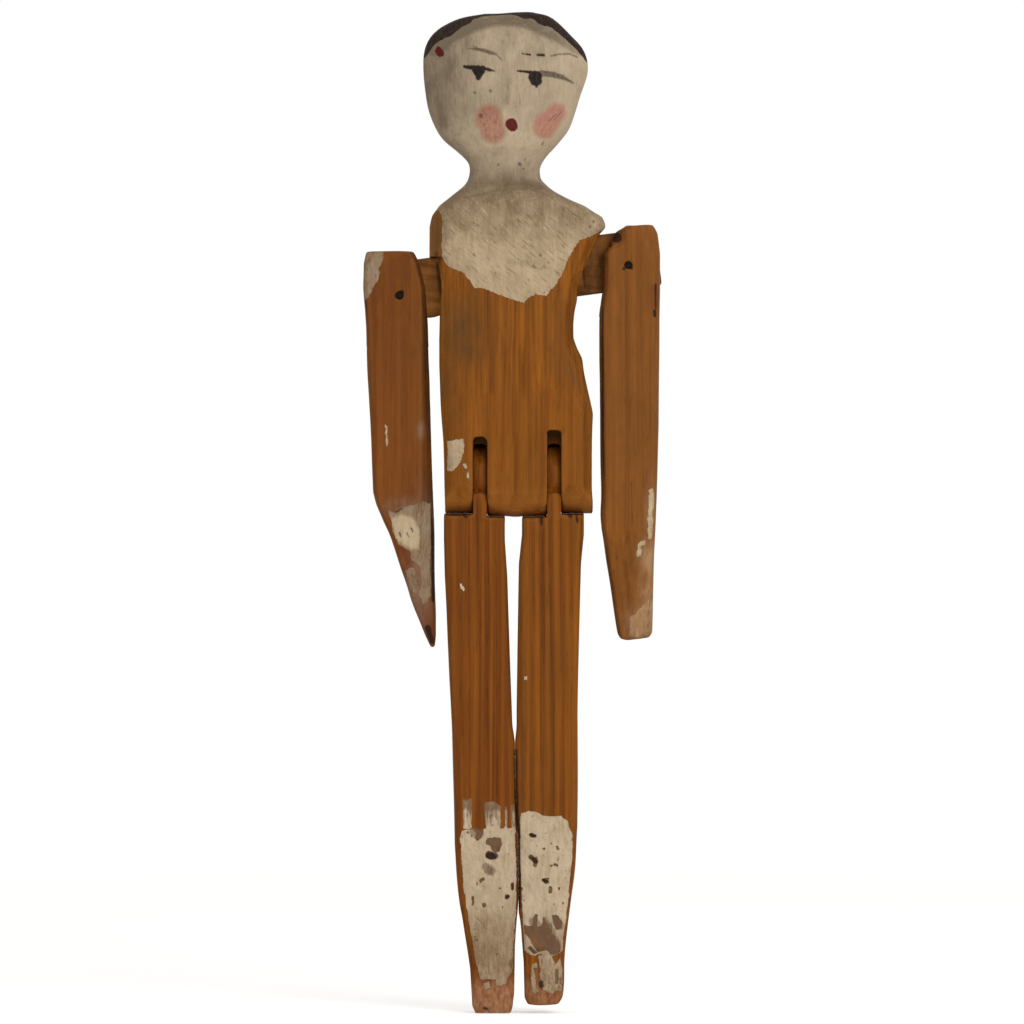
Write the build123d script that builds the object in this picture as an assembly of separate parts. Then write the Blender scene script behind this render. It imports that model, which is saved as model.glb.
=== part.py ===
from build123d import *
from math import cos, radians, sin, tan
import os

# A peg wooden doll: a whittled head and trunk, two one-piece arms on a shoulder
# bar and two one-piece legs on hip pegs. Millimetres. The doll stands upright,
# +Z up, its face towards -Y, and +X to the right of someone who faces it.
# "left" and "right" are that viewer's. The sole of the left foot is at Z = 0.

# Stations up the doll, each counted from the one below it
leg_length_left = 134.25      # hip pin's axis to the left sole
leg_length_right = 132.0      # the right leg is a little shorter
shoulder_rise = 49.75         # hip pin's axis to the shoulder bar's axis
neck_rise = 26.0              # shoulder bar's axis to the waist of the neck
head_rise = 39.7              # waist of the neck to the crown

# Head and neck
head_width = 41.0
head_depth = 19.6
head_centre_x = -1.9
neck_width = 17.6
neck_depth = 13.0

# Trunk, carved from one flat block
block_depth = 20.0            # chest to back
hip_depth = 18.5              # front of the hips to back
trunk_edge = 2.4              # whittled bevel along the flanks
shoulder_left_x = -20.6
shoulder_right_x = 23.2
flank_left_x = -18.0
hip_left_x = -16.6
armpit_right_x = 16.4
waist_right_x = 15.5
belly_right_x = 20.3
hip_right_x = 20.0
waist_drop = 12.0             # shoulder bar's axis to the waist
belly_rise = 15.5             # hip pin's axis to the widest part of the belly
shoulder_height = 12.2        # bar's axis to the corners of the shoulders
armpit_height = 3.5           # below the bar's axis at the middle

# Shoulder bar
bar_diameter = 14.6
bar_tilt = 7.6                # degrees, up to the viewer's right
bar_fit = 0.08                # radial clearance in the trunk
tongue_thickness = 4.2
tongue_left_end = -36.0
tongue_right_end = 36.0
flat_start = 17.6             # half length of the round middle
bar_chamfer = 0.6

# Pegs
pin_diameter = 1.8
pin_running_fit = 0.06        # radial clearance in the piece that turns
pin_press_fit = 0.01          # radial clearance in the piece that holds it
pin_recess = 0.5              # each peg ends this far below the wood

# Arms
arm_depth = 13.2
arm_edge = 1.1
fork_clearance = 0.25         # each side of the tongue
fork_floor = 12.4             # pin's axis down to the floor of the fork
arm_pin_left_x = -27.9
arm_pin_right_x = 29.1
arm_pin_drop = 1.3            # pin below the bar's axis
arm_left_length = 87.4        # pin's axis to the fingertip
arm_right_length = 93.0
arm_left_top = 10.8           # pin's axis to the top of the fork
arm_right_top = 10.2
hand_left_length = 35.4
hand_right_length = 27.0
hand_left_tip_depth = 8.0
hand_right_tip_depth = 3.6

# Hips and legs
tongue_width = 3.1
slot_clearance = 0.2          # each side of a leg's tongue
slot_left_x = -7.85
slot_right_x = 10.65
slot_left_rise = 9.3          # hip pin's axis to the end of the slot
slot_right_rise = 11.0
cheek_drop = 9.6              # hip pin's axis to the bottom of the outer cheeks
crotch_drop = 10.3            # hip pin's axis to the bottom of the middle block
hip_gap = 0.3                 # trunk to the legs' shoulders
back_swing = 30.0             # degrees that a leg can swing backwards
hip_pin_reach = 6.0           # into the middle block, past the slot
leg_depth = 15.0
leg_edge = 1.0
tongue_crown = 7.2            # radius of a leg tongue's top about the pin
tongue_step = 4.4             # full depth ends this far below the pin
ankle_depth = 11.0
ankle_rise = 11.0
heel_cut = 1.4                # off the back at the ankle
narrowing_rise = 44.0         # where a leg begins to narrow, above its sole

# Places that follow from those sizes
hip_z = leg_length_left
bar_z = hip_z + shoulder_rise
neck_z = bar_z + neck_rise
shoulder_z = bar_z + shoulder_height
armpit_z = bar_z - armpit_height
chest_y = -block_depth / 2
back_y = block_depth / 2
hip_front_y = back_y - hip_depth
hip_pin_y = (hip_front_y + back_y) / 2
bar_radius = bar_diameter / 2
pin_radius = pin_diameter / 2
bar_slope = (cos(radians(bar_tilt)), 0, sin(radians(bar_tilt)))
bar_plane = Plane((0, 0, bar_z), x_dir=(0, 1, 0), z_dir=bar_slope)
far = 500.0                   # longer than the doll, for cuts that run right out


def bar_height(x):
    """Height of the shoulder bar's axis at x."""
    return bar_z + x * tan(radians(bar_tilt))


arm_pin_left_z = bar_height(arm_pin_left_x) - arm_pin_drop
arm_pin_right_z = bar_height(arm_pin_right_x) - arm_pin_drop


def front_slab(outline, front, back):
    """A slab with its outline drawn in X and Z, from Y = front to Y = back."""
    return extrude(Plane.XZ.offset(-back) * outline, back - front)


def side_slab(outline, left, right):
    """A slab with its outline drawn in Y and Z, from X = left to X = right."""
    return extrude(Plane.YZ.offset(left) * outline, right - left)


def shape(*points):
    """A closed face through the points."""
    return make_face(Polyline(*points, close=True))


def whittled(edge, stations):
    """A stick with bevelled corners: height, left, right, front and back of each station."""
    sections = []
    for z, left, right, front, back in stations:
        cut = min(edge, (right - left) * 0.3, (back - front) * 0.3)
        octagon = shape(
            (left + cut, front), (right - cut, front), (right, front + cut), (right, back - cut),
            (right - cut, back), (left + cut, back), (left, back - cut), (left, front + cut))
        sections.append(Pos(0, 0, z) * octagon)
    return loft(sections, ruled=True)


def peg(radius, start, end):
    """A round peg between two points."""
    span = Vector(*end) - Vector(*start)
    return extrude(Plane(origin=start, z_dir=span) * Circle(radius), span.length)


def head():
    """Head and neck, lofted through ovals: shares of rise, width and depth, and a shift."""
    neck_ovals = ((-0.22, 1.14, 0.90, 0.0), (0.0, 1.0, 1.0, 0.1))
    head_ovals = (
        (0.09, 0.50, 0.72, 0.1), (0.20, 0.70, 0.86, -0.5), (0.34, 0.87, 0.95, -0.5),
        (0.50, 0.95, 1.0, -0.3), (0.66, 1.0, 1.0, 0.2), (0.80, 0.95, 0.95, -0.1),
        (0.89, 0.82, 0.84, -0.5), (0.95, 0.67, 0.66, -0.4), (0.985, 0.49, 0.44, 0.3),
        (1.0, 0.30, 0.22, 1.0))
    ovals = [(rise, neck_width * width, neck_depth * depth, shift)
             for rise, width, depth, shift in neck_ovals]
    ovals += [(rise, head_width * width, head_depth * depth, shift)
              for rise, width, depth, shift in head_ovals]
    return loft([
        Pos(head_centre_x + shift, 0, neck_z + head_rise * rise) * Ellipse(width / 2, depth / 2)
        for rise, width, depth, shift in ovals])


def trunk():
    """The trunk as one whittled block, down to the bottom of the hips."""
    neck_left = head_centre_x - neck_width / 2
    neck_right = head_centre_x + neck_width / 2
    neck_front = -neck_depth / 2
    bottom_z = hip_z - crotch_drop
    waist_z = bar_z - waist_drop
    belly_z = hip_z + belly_rise
    notch_z = bar_height(shoulder_left_x) + bar_radius
    neck_base = (neck_z - 8.6, neck_left - 7.4, neck_right + 11.4, chest_y, back_y)
    block = whittled(trunk_edge, (
        (neck_z - 2.4, neck_left - 0.8, neck_right + 1.0, neck_front, -neck_front),
        (neck_z - 5.0, neck_left - 3.2, neck_right + 3.8, chest_y + 0.6, back_y - 1.6),
        neck_base,
        (shoulder_z + 2.6, flank_left_x, shoulder_right_x - 1.0, chest_y, back_y),
        (shoulder_z, flank_left_x, shoulder_right_x, chest_y, back_y),
        (shoulder_z - 3.2, flank_left_x, shoulder_right_x - 2.0, chest_y, back_y),
        (armpit_z, flank_left_x, armpit_right_x, chest_y, back_y),
        (waist_z, flank_left_x, waist_right_x, chest_y, back_y),
        (waist_z - 3.5, flank_left_x, waist_right_x, chest_y + 0.1, back_y),
        (waist_z - 10.5, flank_left_x, (waist_right_x + belly_right_x) / 2, chest_y + 0.4, back_y),
        (belly_z, flank_left_x + 0.6, belly_right_x, hip_front_y - 0.5, back_y),
        (belly_z - 7.0, hip_left_x - 0.4, hip_right_x, hip_front_y - 0.2, back_y),
        (bottom_z, hip_left_x, hip_right_x, hip_front_y, back_y)))
    left_shoulder = whittled(trunk_edge, (
        (notch_z, shoulder_left_x, 0.0, chest_y, back_y),
        (shoulder_z, shoulder_left_x, 0.0, chest_y, back_y),
        (shoulder_z + 2.6, shoulder_left_x + 0.6, 0.0, chest_y, back_y),
        (neck_base[0], neck_base[1], 0.0, chest_y, back_y)))
    return block + left_shoulder


def hip_rounding(drop, left, right):
    """What comes off the bottom of the hips, so that a leg's shoulder can swing past."""
    swing = radians(back_swing)
    heel_y = hip_pin_y + drop * sin(swing)
    heel_z = hip_z - drop * cos(swing)
    run = far * cos(swing)
    below = shape((-far, 0), (far, 0), (far, hip_z), (-far, hip_z))
    kept = Pos(hip_pin_y, hip_z) * Circle(drop)
    heel = shape(
        (hip_pin_y, hip_z), (heel_y, heel_z), (heel_y + run, heel_z + run * tan(swing)),
        (heel_y + run, far), (hip_pin_y, far))
    return side_slab(below - kept - heel, left, right)


def hip_peg(radius, slot_x, outer_x):
    """A peg from the flank, through a leg's slot, into the middle of the hips."""
    side = 1 if outer_x > slot_x else -1
    inner_x = slot_x - side * (tongue_width / 2 + slot_clearance + hip_pin_reach)
    return peg(radius, (outer_x, hip_pin_y, hip_z), (inner_x, hip_pin_y, hip_z))


def torso():
    """Head and trunk in one, with the bar's bore, the hip slots and the pin holes."""
    body = trunk() + head()
    body -= extrude(bar_plane * Circle(bar_radius + bar_fit), far / 2, both=True)
    slot_half = tongue_width / 2 + slot_clearance
    cheek_left = slot_left_x - slot_half
    cheek_right = slot_right_x + slot_half
    body -= hip_rounding(cheek_drop, -far, cheek_left)
    body -= hip_rounding(crotch_drop, cheek_left, cheek_right)
    body -= hip_rounding(cheek_drop, cheek_right, far)
    for slot_x, rise, outer_x in (
            (slot_left_x, slot_left_rise, -far), (slot_right_x, slot_right_rise, far)):
        left = slot_x - slot_half
        right = slot_x + slot_half
        top = hip_z + rise
        body -= front_slab(shape((left, 0), (left, top), (right, top), (right, 0)), -far, far)
        body -= hip_peg(pin_radius + pin_press_fit, slot_x, outer_x)
    return body


def shoulder_bar():
    """The dowel, flattened to a tongue at each end."""
    left = tongue_left_end / cos(radians(bar_tilt))
    right = tongue_right_end / cos(radians(bar_tilt))
    bar = extrude(bar_plane.offset(left) * Circle(bar_radius), right - left)
    bar = chamfer(bar.edges().filter_by(GeomType.CIRCLE), bar_chamfer)
    cheek = Pos(far / 2 + tongue_thickness / 2, 0) * Rectangle(far, far)
    cheeks = cheek + Pos(-far - tongue_thickness, 0) * cheek
    bar -= extrude(bar_plane.offset(flat_start) * cheeks, far)
    bar -= extrude(bar_plane.offset(-flat_start - far) * cheeks, far)
    for x, z in ((arm_pin_left_x, arm_pin_left_z), (arm_pin_right_x, arm_pin_right_z)):
        bar -= peg(pin_radius + pin_running_fit, (x, -far, z), (x, far, z))
    return bar


def fork(body, x, z):
    """Cut an arm's fork and its pin hole."""
    gap = tongue_thickness / 2 + fork_clearance
    floor = z - fork_floor
    body -= side_slab(shape((-gap, floor), (-gap, far), (gap, far), (gap, floor)), -far, far)
    return body - peg(pin_radius + pin_press_fit, (x, -far, z), (x, far, z))


def arm_left():
    """Left arm, its hand whittled from the outer side to a point."""
    x = arm_pin_left_x
    z = arm_pin_left_z
    half = arm_depth / 2
    tip = z - arm_left_length
    wrist = tip + hand_left_length
    tip_half = hand_left_tip_depth / 2
    body = whittled(arm_edge, (
        (tip, x + 7.6, x + 8.4, -tip_half + 0.6, tip_half - 0.6),
        (tip + 3.0, x + 6.2, x + 8.9, -tip_half, tip_half),
        (wrist - 8.0, x - 2.5, x + 8.7, -half + 0.6, half - 0.6),
        (wrist, x - 6.0, x + 8.4, -half, half),
        (wrist + 3.0, x - 6.8, x + 8.3, -half, half),
        (z - 7.0, x - 8.8, x + 7.0, -half, half),
        (z + 2.0, x - 9.2, x + 6.4, -half, half),
        (z + arm_left_top - 2.6, x - 9.0, x + 4.8, -half, half),
        (z + arm_left_top, x - 8.4, x + 3.2, -half + 1.0, half - 1.0)))
    return fork(body, x, z)


def arm_right():
    """Right arm, its blunt hand thinned from front and back."""
    x = arm_pin_right_x
    z = arm_pin_right_z
    half = arm_depth / 2
    tip = z - arm_right_length
    wrist = tip + hand_right_length
    tip_half = hand_right_tip_depth / 2
    body = whittled(arm_edge, (
        (tip, x - 2.0, x + 5.2, -tip_half + 0.3, tip_half - 0.3),
        (tip + 1.2, x - 2.8, x + 6.1, -tip_half, tip_half),
        (tip + 20.5, x - 5.6, x + 6.6, -half + 1.2, half - 1.2),
        (wrist, x - 6.5, x + 6.9, -half, half),
        (z - 40.0, x - 6.8, x + 7.7, -half, half),
        (z - 12.0, x - 6.8, x + 7.9, -half, half),
        (z - 6.0, x - 6.1, x + 8.0, -half, half),
        (z + 3.0, x - 6.0, x + 8.0, -half, half),
        (z + arm_right_top - 2.2, x - 2.6, x + 7.4, -half, half),
        (z + arm_right_top, x - 0.4, x + 6.2, -half + 0.3, half - 0.3)))
    return fork(body, x, z)


def arm_pin(x, z):
    """A peg through an arm's fork and the bar's tongue."""
    half = arm_depth / 2 - pin_recess
    return peg(pin_radius, (x, -half, z), (x, half, z))


def leg(slot_x, sole_z, inward, calf, thigh):
    """A leg and its tongue: left and right of each station, counted up from the sole
    for the calf, and down from the leg's shoulder for the thigh."""
    front = hip_pin_y - leg_depth / 2
    back = hip_pin_y + leg_depth / 2
    outer_top = hip_z - cheek_drop - hip_gap
    inner_top = hip_z - crotch_drop - hip_gap
    rises = [(rise, left, right) for rise, left, right in calf]
    rises += [(outer_top - sole_z - drop, left, right) for drop, left, right in thigh]
    stations = []
    for rise, left, right in rises:
        slope = max(0.0, min(1.0, (narrowing_rise - rise) / (narrowing_rise - ankle_rise)))
        in_front = (leg_depth - ankle_depth) * (slope if rise >= ankle_rise else rise / ankle_rise)
        stations.append((sole_z + rise, left, right, front + in_front, back - slope * heel_cut))
    body = whittled(leg_edge, stations)
    tongue_left = slot_x - tongue_width / 2
    tongue_right = slot_x + tongue_width / 2
    step_x = tongue_right if inward > 0 else tongue_left
    step = shape((step_x, inner_top), (step_x + inward * far, inner_top),
                 (step_x + inward * far, far), (step_x, far))
    body -= front_slab(step, -far, far)
    stem = shape((front, inner_top), (front, hip_z - tongue_step),
                 (back, hip_z - tongue_step), (back, inner_top))
    crown = Pos(hip_pin_y, hip_z) * Circle(tongue_crown)
    body += side_slab(stem + crown, tongue_left, tongue_right)
    return body - peg(pin_radius + pin_running_fit, (-far, hip_pin_y, hip_z), (far, hip_pin_y, hip_z))


def leg_left():
    """Left leg."""
    calf = (
        (0.0, -9.0, -0.1), (1.8, -9.8, 0.4), (11.0, -10.4, 0.6), (27.0, -12.9, 0.6),
        (42.0, -14.2, 0.6))
    thigh = ((54.3, -14.9, 0.3), (15.3, -16.7, -1.0), (6.3, -16.9, -1.6), (0.0, -16.9, -1.6))
    return leg(slot_left_x, 0.0, 1, calf, thigh)


def leg_right():
    """Right leg."""
    calf = (
        (0.0, 4.0, 11.4), (1.4, 3.2, 12.2), (10.0, 3.0, 13.1), (22.0, 2.1, 14.4),
        (29.5, 1.8, 15.2), (44.0, 1.3, 16.3))
    thigh = ((49.1, 1.2, 16.5), (12.1, 1.8, 17.4), (5.1, 2.6, 18.1), (0.0, 2.6, 18.1))
    return leg(slot_right_x, leg_length_left - leg_length_right, -1, calf, thigh)


wood = Color(0.50, 0.30, 0.12)
reddish_wood = Color(0.46, 0.25, 0.10)
cream = Color(0.66, 0.56, 0.44)
dark_wood = Color(0.30, 0.16, 0.07)

nodes = {
    "torso": (torso(), cream),
    "shoulder_bar": (shoulder_bar(), dark_wood),
    "arm_left": (arm_left(), wood),
    "arm_right": (arm_right(), wood),
    "arm_pin_left": (arm_pin(arm_pin_left_x, arm_pin_left_z), dark_wood),
    "arm_pin_right": (arm_pin(arm_pin_right_x, arm_pin_right_z), dark_wood),
    "leg_left": (leg_left(), reddish_wood),
    "leg_right": (leg_right(), reddish_wood),
    "hip_pin_left": (hip_peg(pin_radius, slot_left_x, hip_left_x + pin_recess), dark_wood),
    "hip_pin_right": (hip_peg(pin_radius, slot_right_x, hip_right_x - pin_recess), dark_wood),
}

os.makedirs("parts", exist_ok=True)
for name, (body, colour) in nodes.items():
    body.label = name
    body.color = colour
    export_step(body, f"parts/{name}.step")
    box = body.bounding_box()
    print(f"{name}: {len(body.solids())} solid, {body.volume:.1f} mm3, {box.min}, {box.max}")
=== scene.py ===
# Peg wooden doll: a whittled trunk with a turning shoulder bar, two pegged arms and two pegged legs.
import itertools
import math
import bmesh
import bpy
import numpy as np
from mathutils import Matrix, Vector


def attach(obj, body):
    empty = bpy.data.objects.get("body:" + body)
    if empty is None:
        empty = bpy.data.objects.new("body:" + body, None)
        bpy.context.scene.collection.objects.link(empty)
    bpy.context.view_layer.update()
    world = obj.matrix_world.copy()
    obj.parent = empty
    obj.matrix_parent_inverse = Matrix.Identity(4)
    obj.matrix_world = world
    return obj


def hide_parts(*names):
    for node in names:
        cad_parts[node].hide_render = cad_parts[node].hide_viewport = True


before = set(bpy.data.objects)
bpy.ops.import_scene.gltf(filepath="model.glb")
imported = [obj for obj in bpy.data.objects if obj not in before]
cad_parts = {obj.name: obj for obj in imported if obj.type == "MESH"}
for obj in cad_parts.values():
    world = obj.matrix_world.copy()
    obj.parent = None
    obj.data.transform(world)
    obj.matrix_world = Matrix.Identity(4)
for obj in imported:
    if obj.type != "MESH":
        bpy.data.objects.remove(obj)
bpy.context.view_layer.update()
print("frame loaded:", ", ".join(sorted(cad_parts)))

picture = {"side": 1024, "middleX": 511.5, "soleY": 1012.0, "perMetre": 4000.0, "perMm": 4.0}


def fromPicture(px, py):
    # a place in the picture, as metres across and metres up
    return (px - picture["middleX"]) / picture["perMetre"], (picture["soleY"] - py) / picture["perMetre"]


# ---- camera, lights, floor
studio = {
    "distance": 2.4,
    "middle": (0, 0, 0.125),
    "worldColour": (1.0, 0.985, 0.96, 1.0),
    "worldLight": 0.50,
    "keyPower": 11.0,
    "keyPlace": (0.70, -1.30, 0.80),
    "keySize": 0.9,
    "fillPower": 3.3,
    "fillPlace": (-0.92, -1.20, 0.12),
    "fillSize": 1.1,
    "floorColour": (0.86, 0.855, 0.84, 1.0),
    "floorGlow": 0.50,
    "floorHalf": 0.9,
}


def setCamera():
    lens = bpy.data.cameras.new("pictureLens")
    viewWidth = picture["side"] / picture["perMetre"]
    midX, midZ = fromPicture(picture["side"] / 2, picture["side"] / 2)
    lens.sensor_width = 36.0
    lens.lens = 36.0 * studio["distance"] / viewWidth
    lens.clip_start = 0.05
    lens.clip_end = 20.0
    eye = bpy.data.objects.new("pictureCamera", lens)
    eye.location = (midX, -studio["distance"], midZ)
    eye.rotation_euler = (math.radians(90), 0, 0)
    bpy.context.scene.collection.objects.link(eye)
    bpy.context.scene.camera = eye


def areaLamp(name):
    lamp = bpy.data.lights.new(name + "Lamp", "AREA")
    lamp.energy = studio[name + "Power"]
    lamp.shape = "DISK"
    lamp.size = studio[name + "Size"]
    holder = bpy.data.objects.new(name + "Lamp", lamp)
    holder.location = studio[name + "Place"]
    bpy.context.scene.collection.objects.link(holder)
    away = Vector(holder.location) - Vector(studio["middle"])
    holder.rotation_mode = "QUATERNION"
    holder.rotation_quaternion = away.to_track_quat("Z", "Y")


def setWorld():
    world = bpy.data.worlds.new("paleRoom")
    world.use_nodes = True
    tree = world.node_tree
    tree.nodes.clear()
    out = tree.nodes.new("ShaderNodeOutputWorld")
    mix = tree.nodes.new("ShaderNodeMixShader")
    rays = tree.nodes.new("ShaderNodeLightPath")
    # the camera and mirrors see plain white, the doll is lit by the room
    seen = rays.outputs["Is Camera Ray"]
    for ray in ("Is Glossy Ray", "Is Transmission Ray"):
        either = tree.nodes.new("ShaderNodeMath")
        either.operation = "MAXIMUM"
        tree.links.new(seen, either.inputs[0])
        tree.links.new(rays.outputs[ray], either.inputs[1])
        seen = either.outputs[0]
    tree.links.new(seen, mix.inputs[0])
    for slot, colour, strong in ((1, studio["worldColour"], studio["worldLight"]), (2, (1, 1, 1, 1), 1.0)):
        light = tree.nodes.new("ShaderNodeBackground")
        light.inputs["Color"].default_value = colour
        light.inputs["Strength"].default_value = strong
        tree.links.new(light.outputs[0], mix.inputs[slot])
    tree.links.new(mix.outputs[0], out.inputs[0])
    bpy.context.scene.world = world


def layFloor():
    sheet = bpy.data.meshes.new("paleFloor")
    bm = bmesh.new()
    bmesh.ops.create_circle(bm, cap_ends=True, radius=studio["floorHalf"], segments=96)
    bm.to_mesh(sheet)
    bm.free()
    floor = bpy.data.objects.new("paleFloor", sheet)
    floor.location = (0, 0, -0.0001)
    bpy.context.scene.collection.objects.link(floor)
    finish = bpy.data.materials.new("paleFloorPaint")
    finish.use_nodes = True
    tree = finish.node_tree
    shader = tree.nodes["Principled BSDF"]
    shader.inputs["Base Color"].default_value = studio["floorColour"]
    shader.inputs["Roughness"].default_value = 0.9
    shader.inputs["Specular IOR Level"].default_value = 0.1
    glow = tree.nodes.new("ShaderNodeEmission")
    glow.inputs["Strength"].default_value = studio["floorGlow"]
    rays = tree.nodes.new("ShaderNodeLightPath")
    dark = tree.nodes.new("ShaderNodeEmission")
    dark.inputs["Strength"].default_value = 0.0
    pick = tree.nodes.new("ShaderNodeMixShader")
    both = tree.nodes.new("ShaderNodeAddShader")
    tree.links.new(rays.outputs["Is Camera Ray"], pick.inputs[0])
    tree.links.new(dark.outputs[0], pick.inputs[1])
    tree.links.new(glow.outputs[0], pick.inputs[2])
    tree.links.new(shader.outputs[0], both.inputs[0])
    tree.links.new(pick.outputs[0], both.inputs[1])
    tree.links.new(both.outputs[0], tree.nodes["Material Output"].inputs["Surface"])
    floor.data.materials.append(finish)


setCamera()
for lampName in ("key", "fill"):
    areaLamp(lampName)
setWorld()
layFloor()
bpy.context.scene.view_settings.view_transform = "Standard"
print("studio set")


# ---- shapes: a fine copy of each solid, then the knife's and the years' marks on it
def fineCopy(node, name, grainSize, infill=None, finer=None):
    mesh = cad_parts[node].data.copy()
    bm = bmesh.new()
    bm.from_mesh(mesh)
    bmesh.ops.remove_doubles(bm, verts=bm.verts, dist=1e-6)
    for low, high in infill or ():
        block = bmesh.ops.create_cube(bm, size=1.0)["verts"]
        for vert in block:
            vert.co = Vector(high[k] if vert.co[k] > 0 else low[k] for k in range(3))
    bm.to_mesh(mesh)
    bm.free()
    mesh.materials.clear()
    rough = bpy.data.objects.new(name + "Rough", mesh)
    bpy.context.scene.collection.objects.link(rough)
    remesh = rough.modifiers.new("fine", "REMESH")
    remesh.mode = "VOXEL"
    remesh.voxel_size = grainSize
    bpy.context.view_layer.update()
    seen = rough.evaluated_get(bpy.context.evaluated_depsgraph_get())
    fine = bpy.data.meshes.new_from_object(seen)
    bpy.data.objects.remove(rough)
    fine.name = name
    fine.materials.clear()
    if finer:
        bm = bmesh.new()
        bm.from_mesh(fine)
        low, high = finer
        inside = []
        for face in bm.faces:
            spot = face.calc_center_median()
            if all(low[k] < spot[k] < high[k] for k in range(3)):
                inside.append(face)
        rim = list({edge for face in inside for edge in face.edges})
        bmesh.ops.subdivide_edges(bm, edges=rim, cuts=1, use_grid_fill=True)
        bm.to_mesh(fine)
        bm.free()
    piece = bpy.data.objects.new(name, fine)
    bpy.context.scene.collection.objects.link(piece)
    fine.polygons.foreach_set("use_smooth", np.ones(len(fine.polygons), bool))
    return piece


def readPoints(piece, kind="co"):
    # a row of three for each point: its place, or its normal
    points = np.empty(len(piece.data.vertices) * 3, np.float32)
    piece.data.vertices.foreach_get(kind, points)
    return points.reshape(-1, 3).astype(float)


def readEdges(piece):
    edges = np.empty(len(piece.data.edges) * 2, np.int32)
    piece.data.edges.foreach_get("vertices", edges)
    return edges.reshape(-1, 2)


def writePoints(piece, points):
    piece.data.vertices.foreach_set("co", points.astype(np.float32).ravel())
    piece.data.update()


def writeMark(piece, name, values):
    # a number kept at each point, which the finishes read
    mark = piece.data.attributes.new(name, "FLOAT", "POINT")
    mark.data.foreach_set("value", values.astype(np.float32))


def scatter(cells, seed):
    # three steady numbers from 0 to 1 for each whole-number cell
    cells = cells.astype(np.int64)
    mixed = cells[..., 0] * 73856093 ^ cells[..., 1] * 19349663 ^ cells[..., 2] * 83492791 ^ seed * 2654435
    found = []
    for step in (1, 2, 3):
        mixed = (mixed * 1103515245 + 12345 * step) & 0x7FFFFFFF
        mixed = mixed ^ (mixed >> 13)
        found.append((mixed & 0xFFFF) / 65535.0)
    return np.stack(found, axis=-1)


def softNoise(points, size, seed):
    # smooth noise from -1 to 1, with size as a lump's length along each axis
    place = points / np.asarray(size, float)
    corner = np.floor(place)
    part = place - corner
    part = part * part * (3 - 2 * part)
    total = np.zeros(len(points))
    for steps in itertools.product((0, 1), repeat=3):
        share = np.prod(np.abs(1 - np.array(steps) - part), axis=1)
        total += share * scatter(corner + np.array(steps), seed)[:, 0]
    return total * 2 - 1


def knifeCuts(points, size, seed):
    # 0 in the middle of a knife cut, rising to 1 at the ridge where it meets the next
    place = points / np.asarray(size, float)
    corner = np.floor(place)
    near = np.full(len(points), 9.0)
    for steps in itertools.product((-1, 0, 1), repeat=3):
        cell = corner + np.array(steps)
        gap = cell + 0.15 + 0.7 * scatter(cell, seed) - place
        near = np.minimum(near, (gap * gap).sum(axis=1))
    return np.clip(near, 0, 1)


def step(values, low, high):
    # 0 below low, 1 above high, smooth between
    part = np.clip((values - low) / (high - low), 0, 1)
    return part * part * (3 - 2 * part)


def settled(points, edges, rounds):
    # each point moved again and again to the middle of its neighbours
    count = np.bincount(edges.ravel(), minlength=len(points)).astype(float)
    for _ in range(rounds):
        total = np.empty_like(points)
        for k in range(3):
            total[:, k] = np.bincount(edges[:, 0], points[edges[:, 1], k], len(points))
            total[:, k] += np.bincount(edges[:, 1], points[edges[:, 0], k], len(points))
        points = total / count[:, None]
    return points


def toPicture(points):
    # where each point stands in the picture, in pixels, nearer points standing further out from its middle
    half = picture["side"] / 2
    midX, midZ = fromPicture(half, half)
    scale = picture["perMetre"] * studio["distance"] / (studio["distance"] + points[:, 1])
    return half + (points[:, 0] - midX) * scale, half - (points[:, 2] - midZ) * scale


def offStroke(across, down, ax, ay, bx, by):
    # how far along a straight stroke each point is, 0 to 1, and how many pixels off it
    reach = max((bx - ax) ** 2 + (by - ay) ** 2, 1e-6)
    along = np.clip(((across - ax) * (bx - ax) + (down - ay) * (by - ay)) / reach, 0, 1)
    return along, np.hypot(across - ax - along * (bx - ax), down - ay - along * (by - ay))


def dab(across, down, px, py, wide, tall):
    # 1 in the middle of a soft round place, fading outward
    return np.exp(-((across - px) / wide) ** 2 - ((down - py) / tall) ** 2)


def insideBy(points, outline):
    # how far each point is inside an outline drawn on the picture, in millimetres, less than 0 outside
    across, down = toPicture(points)
    nearest = np.full(len(points), 1e9)
    crossings = np.zeros(len(points), int)
    for (ax, ay), (bx, by) in zip(outline, outline[1:] + outline[:1]):
        nearest = np.minimum(nearest, offStroke(across, down, ax, ay, bx, by)[1])
        if ay != by:
            cross = ax + (down - ay) / (by - ay) * (bx - ax)
            crossings += ((ay > down) != (by > down)) & (across < cross)
    return np.where(crossings % 2 == 1, 1, -1) * nearest / picture["perMm"]


def insideAny(points, outlines):
    return np.maximum(np.max([insideBy(points, outline) for outline in outlines], axis=0), -40.0)


def wrapped(front, back, toBack):
    # one thing on the front, another on the back, joined round the side
    return front * (1 - toBack) + back * toBack


def brushed(points, touches):
    # how far each point is inside the nearest touch of the brush, in millimetres, less than 0 outside
    across, down = toPicture(points)
    deepest = np.full(len(points), -9.0)
    for *ends, first, last in touches:
        along, off = offStroke(across, down, *ends)
        deepest = np.maximum(deepest, (first + along * (last - first) - off) / picture["perMm"])
    return deepest


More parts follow.
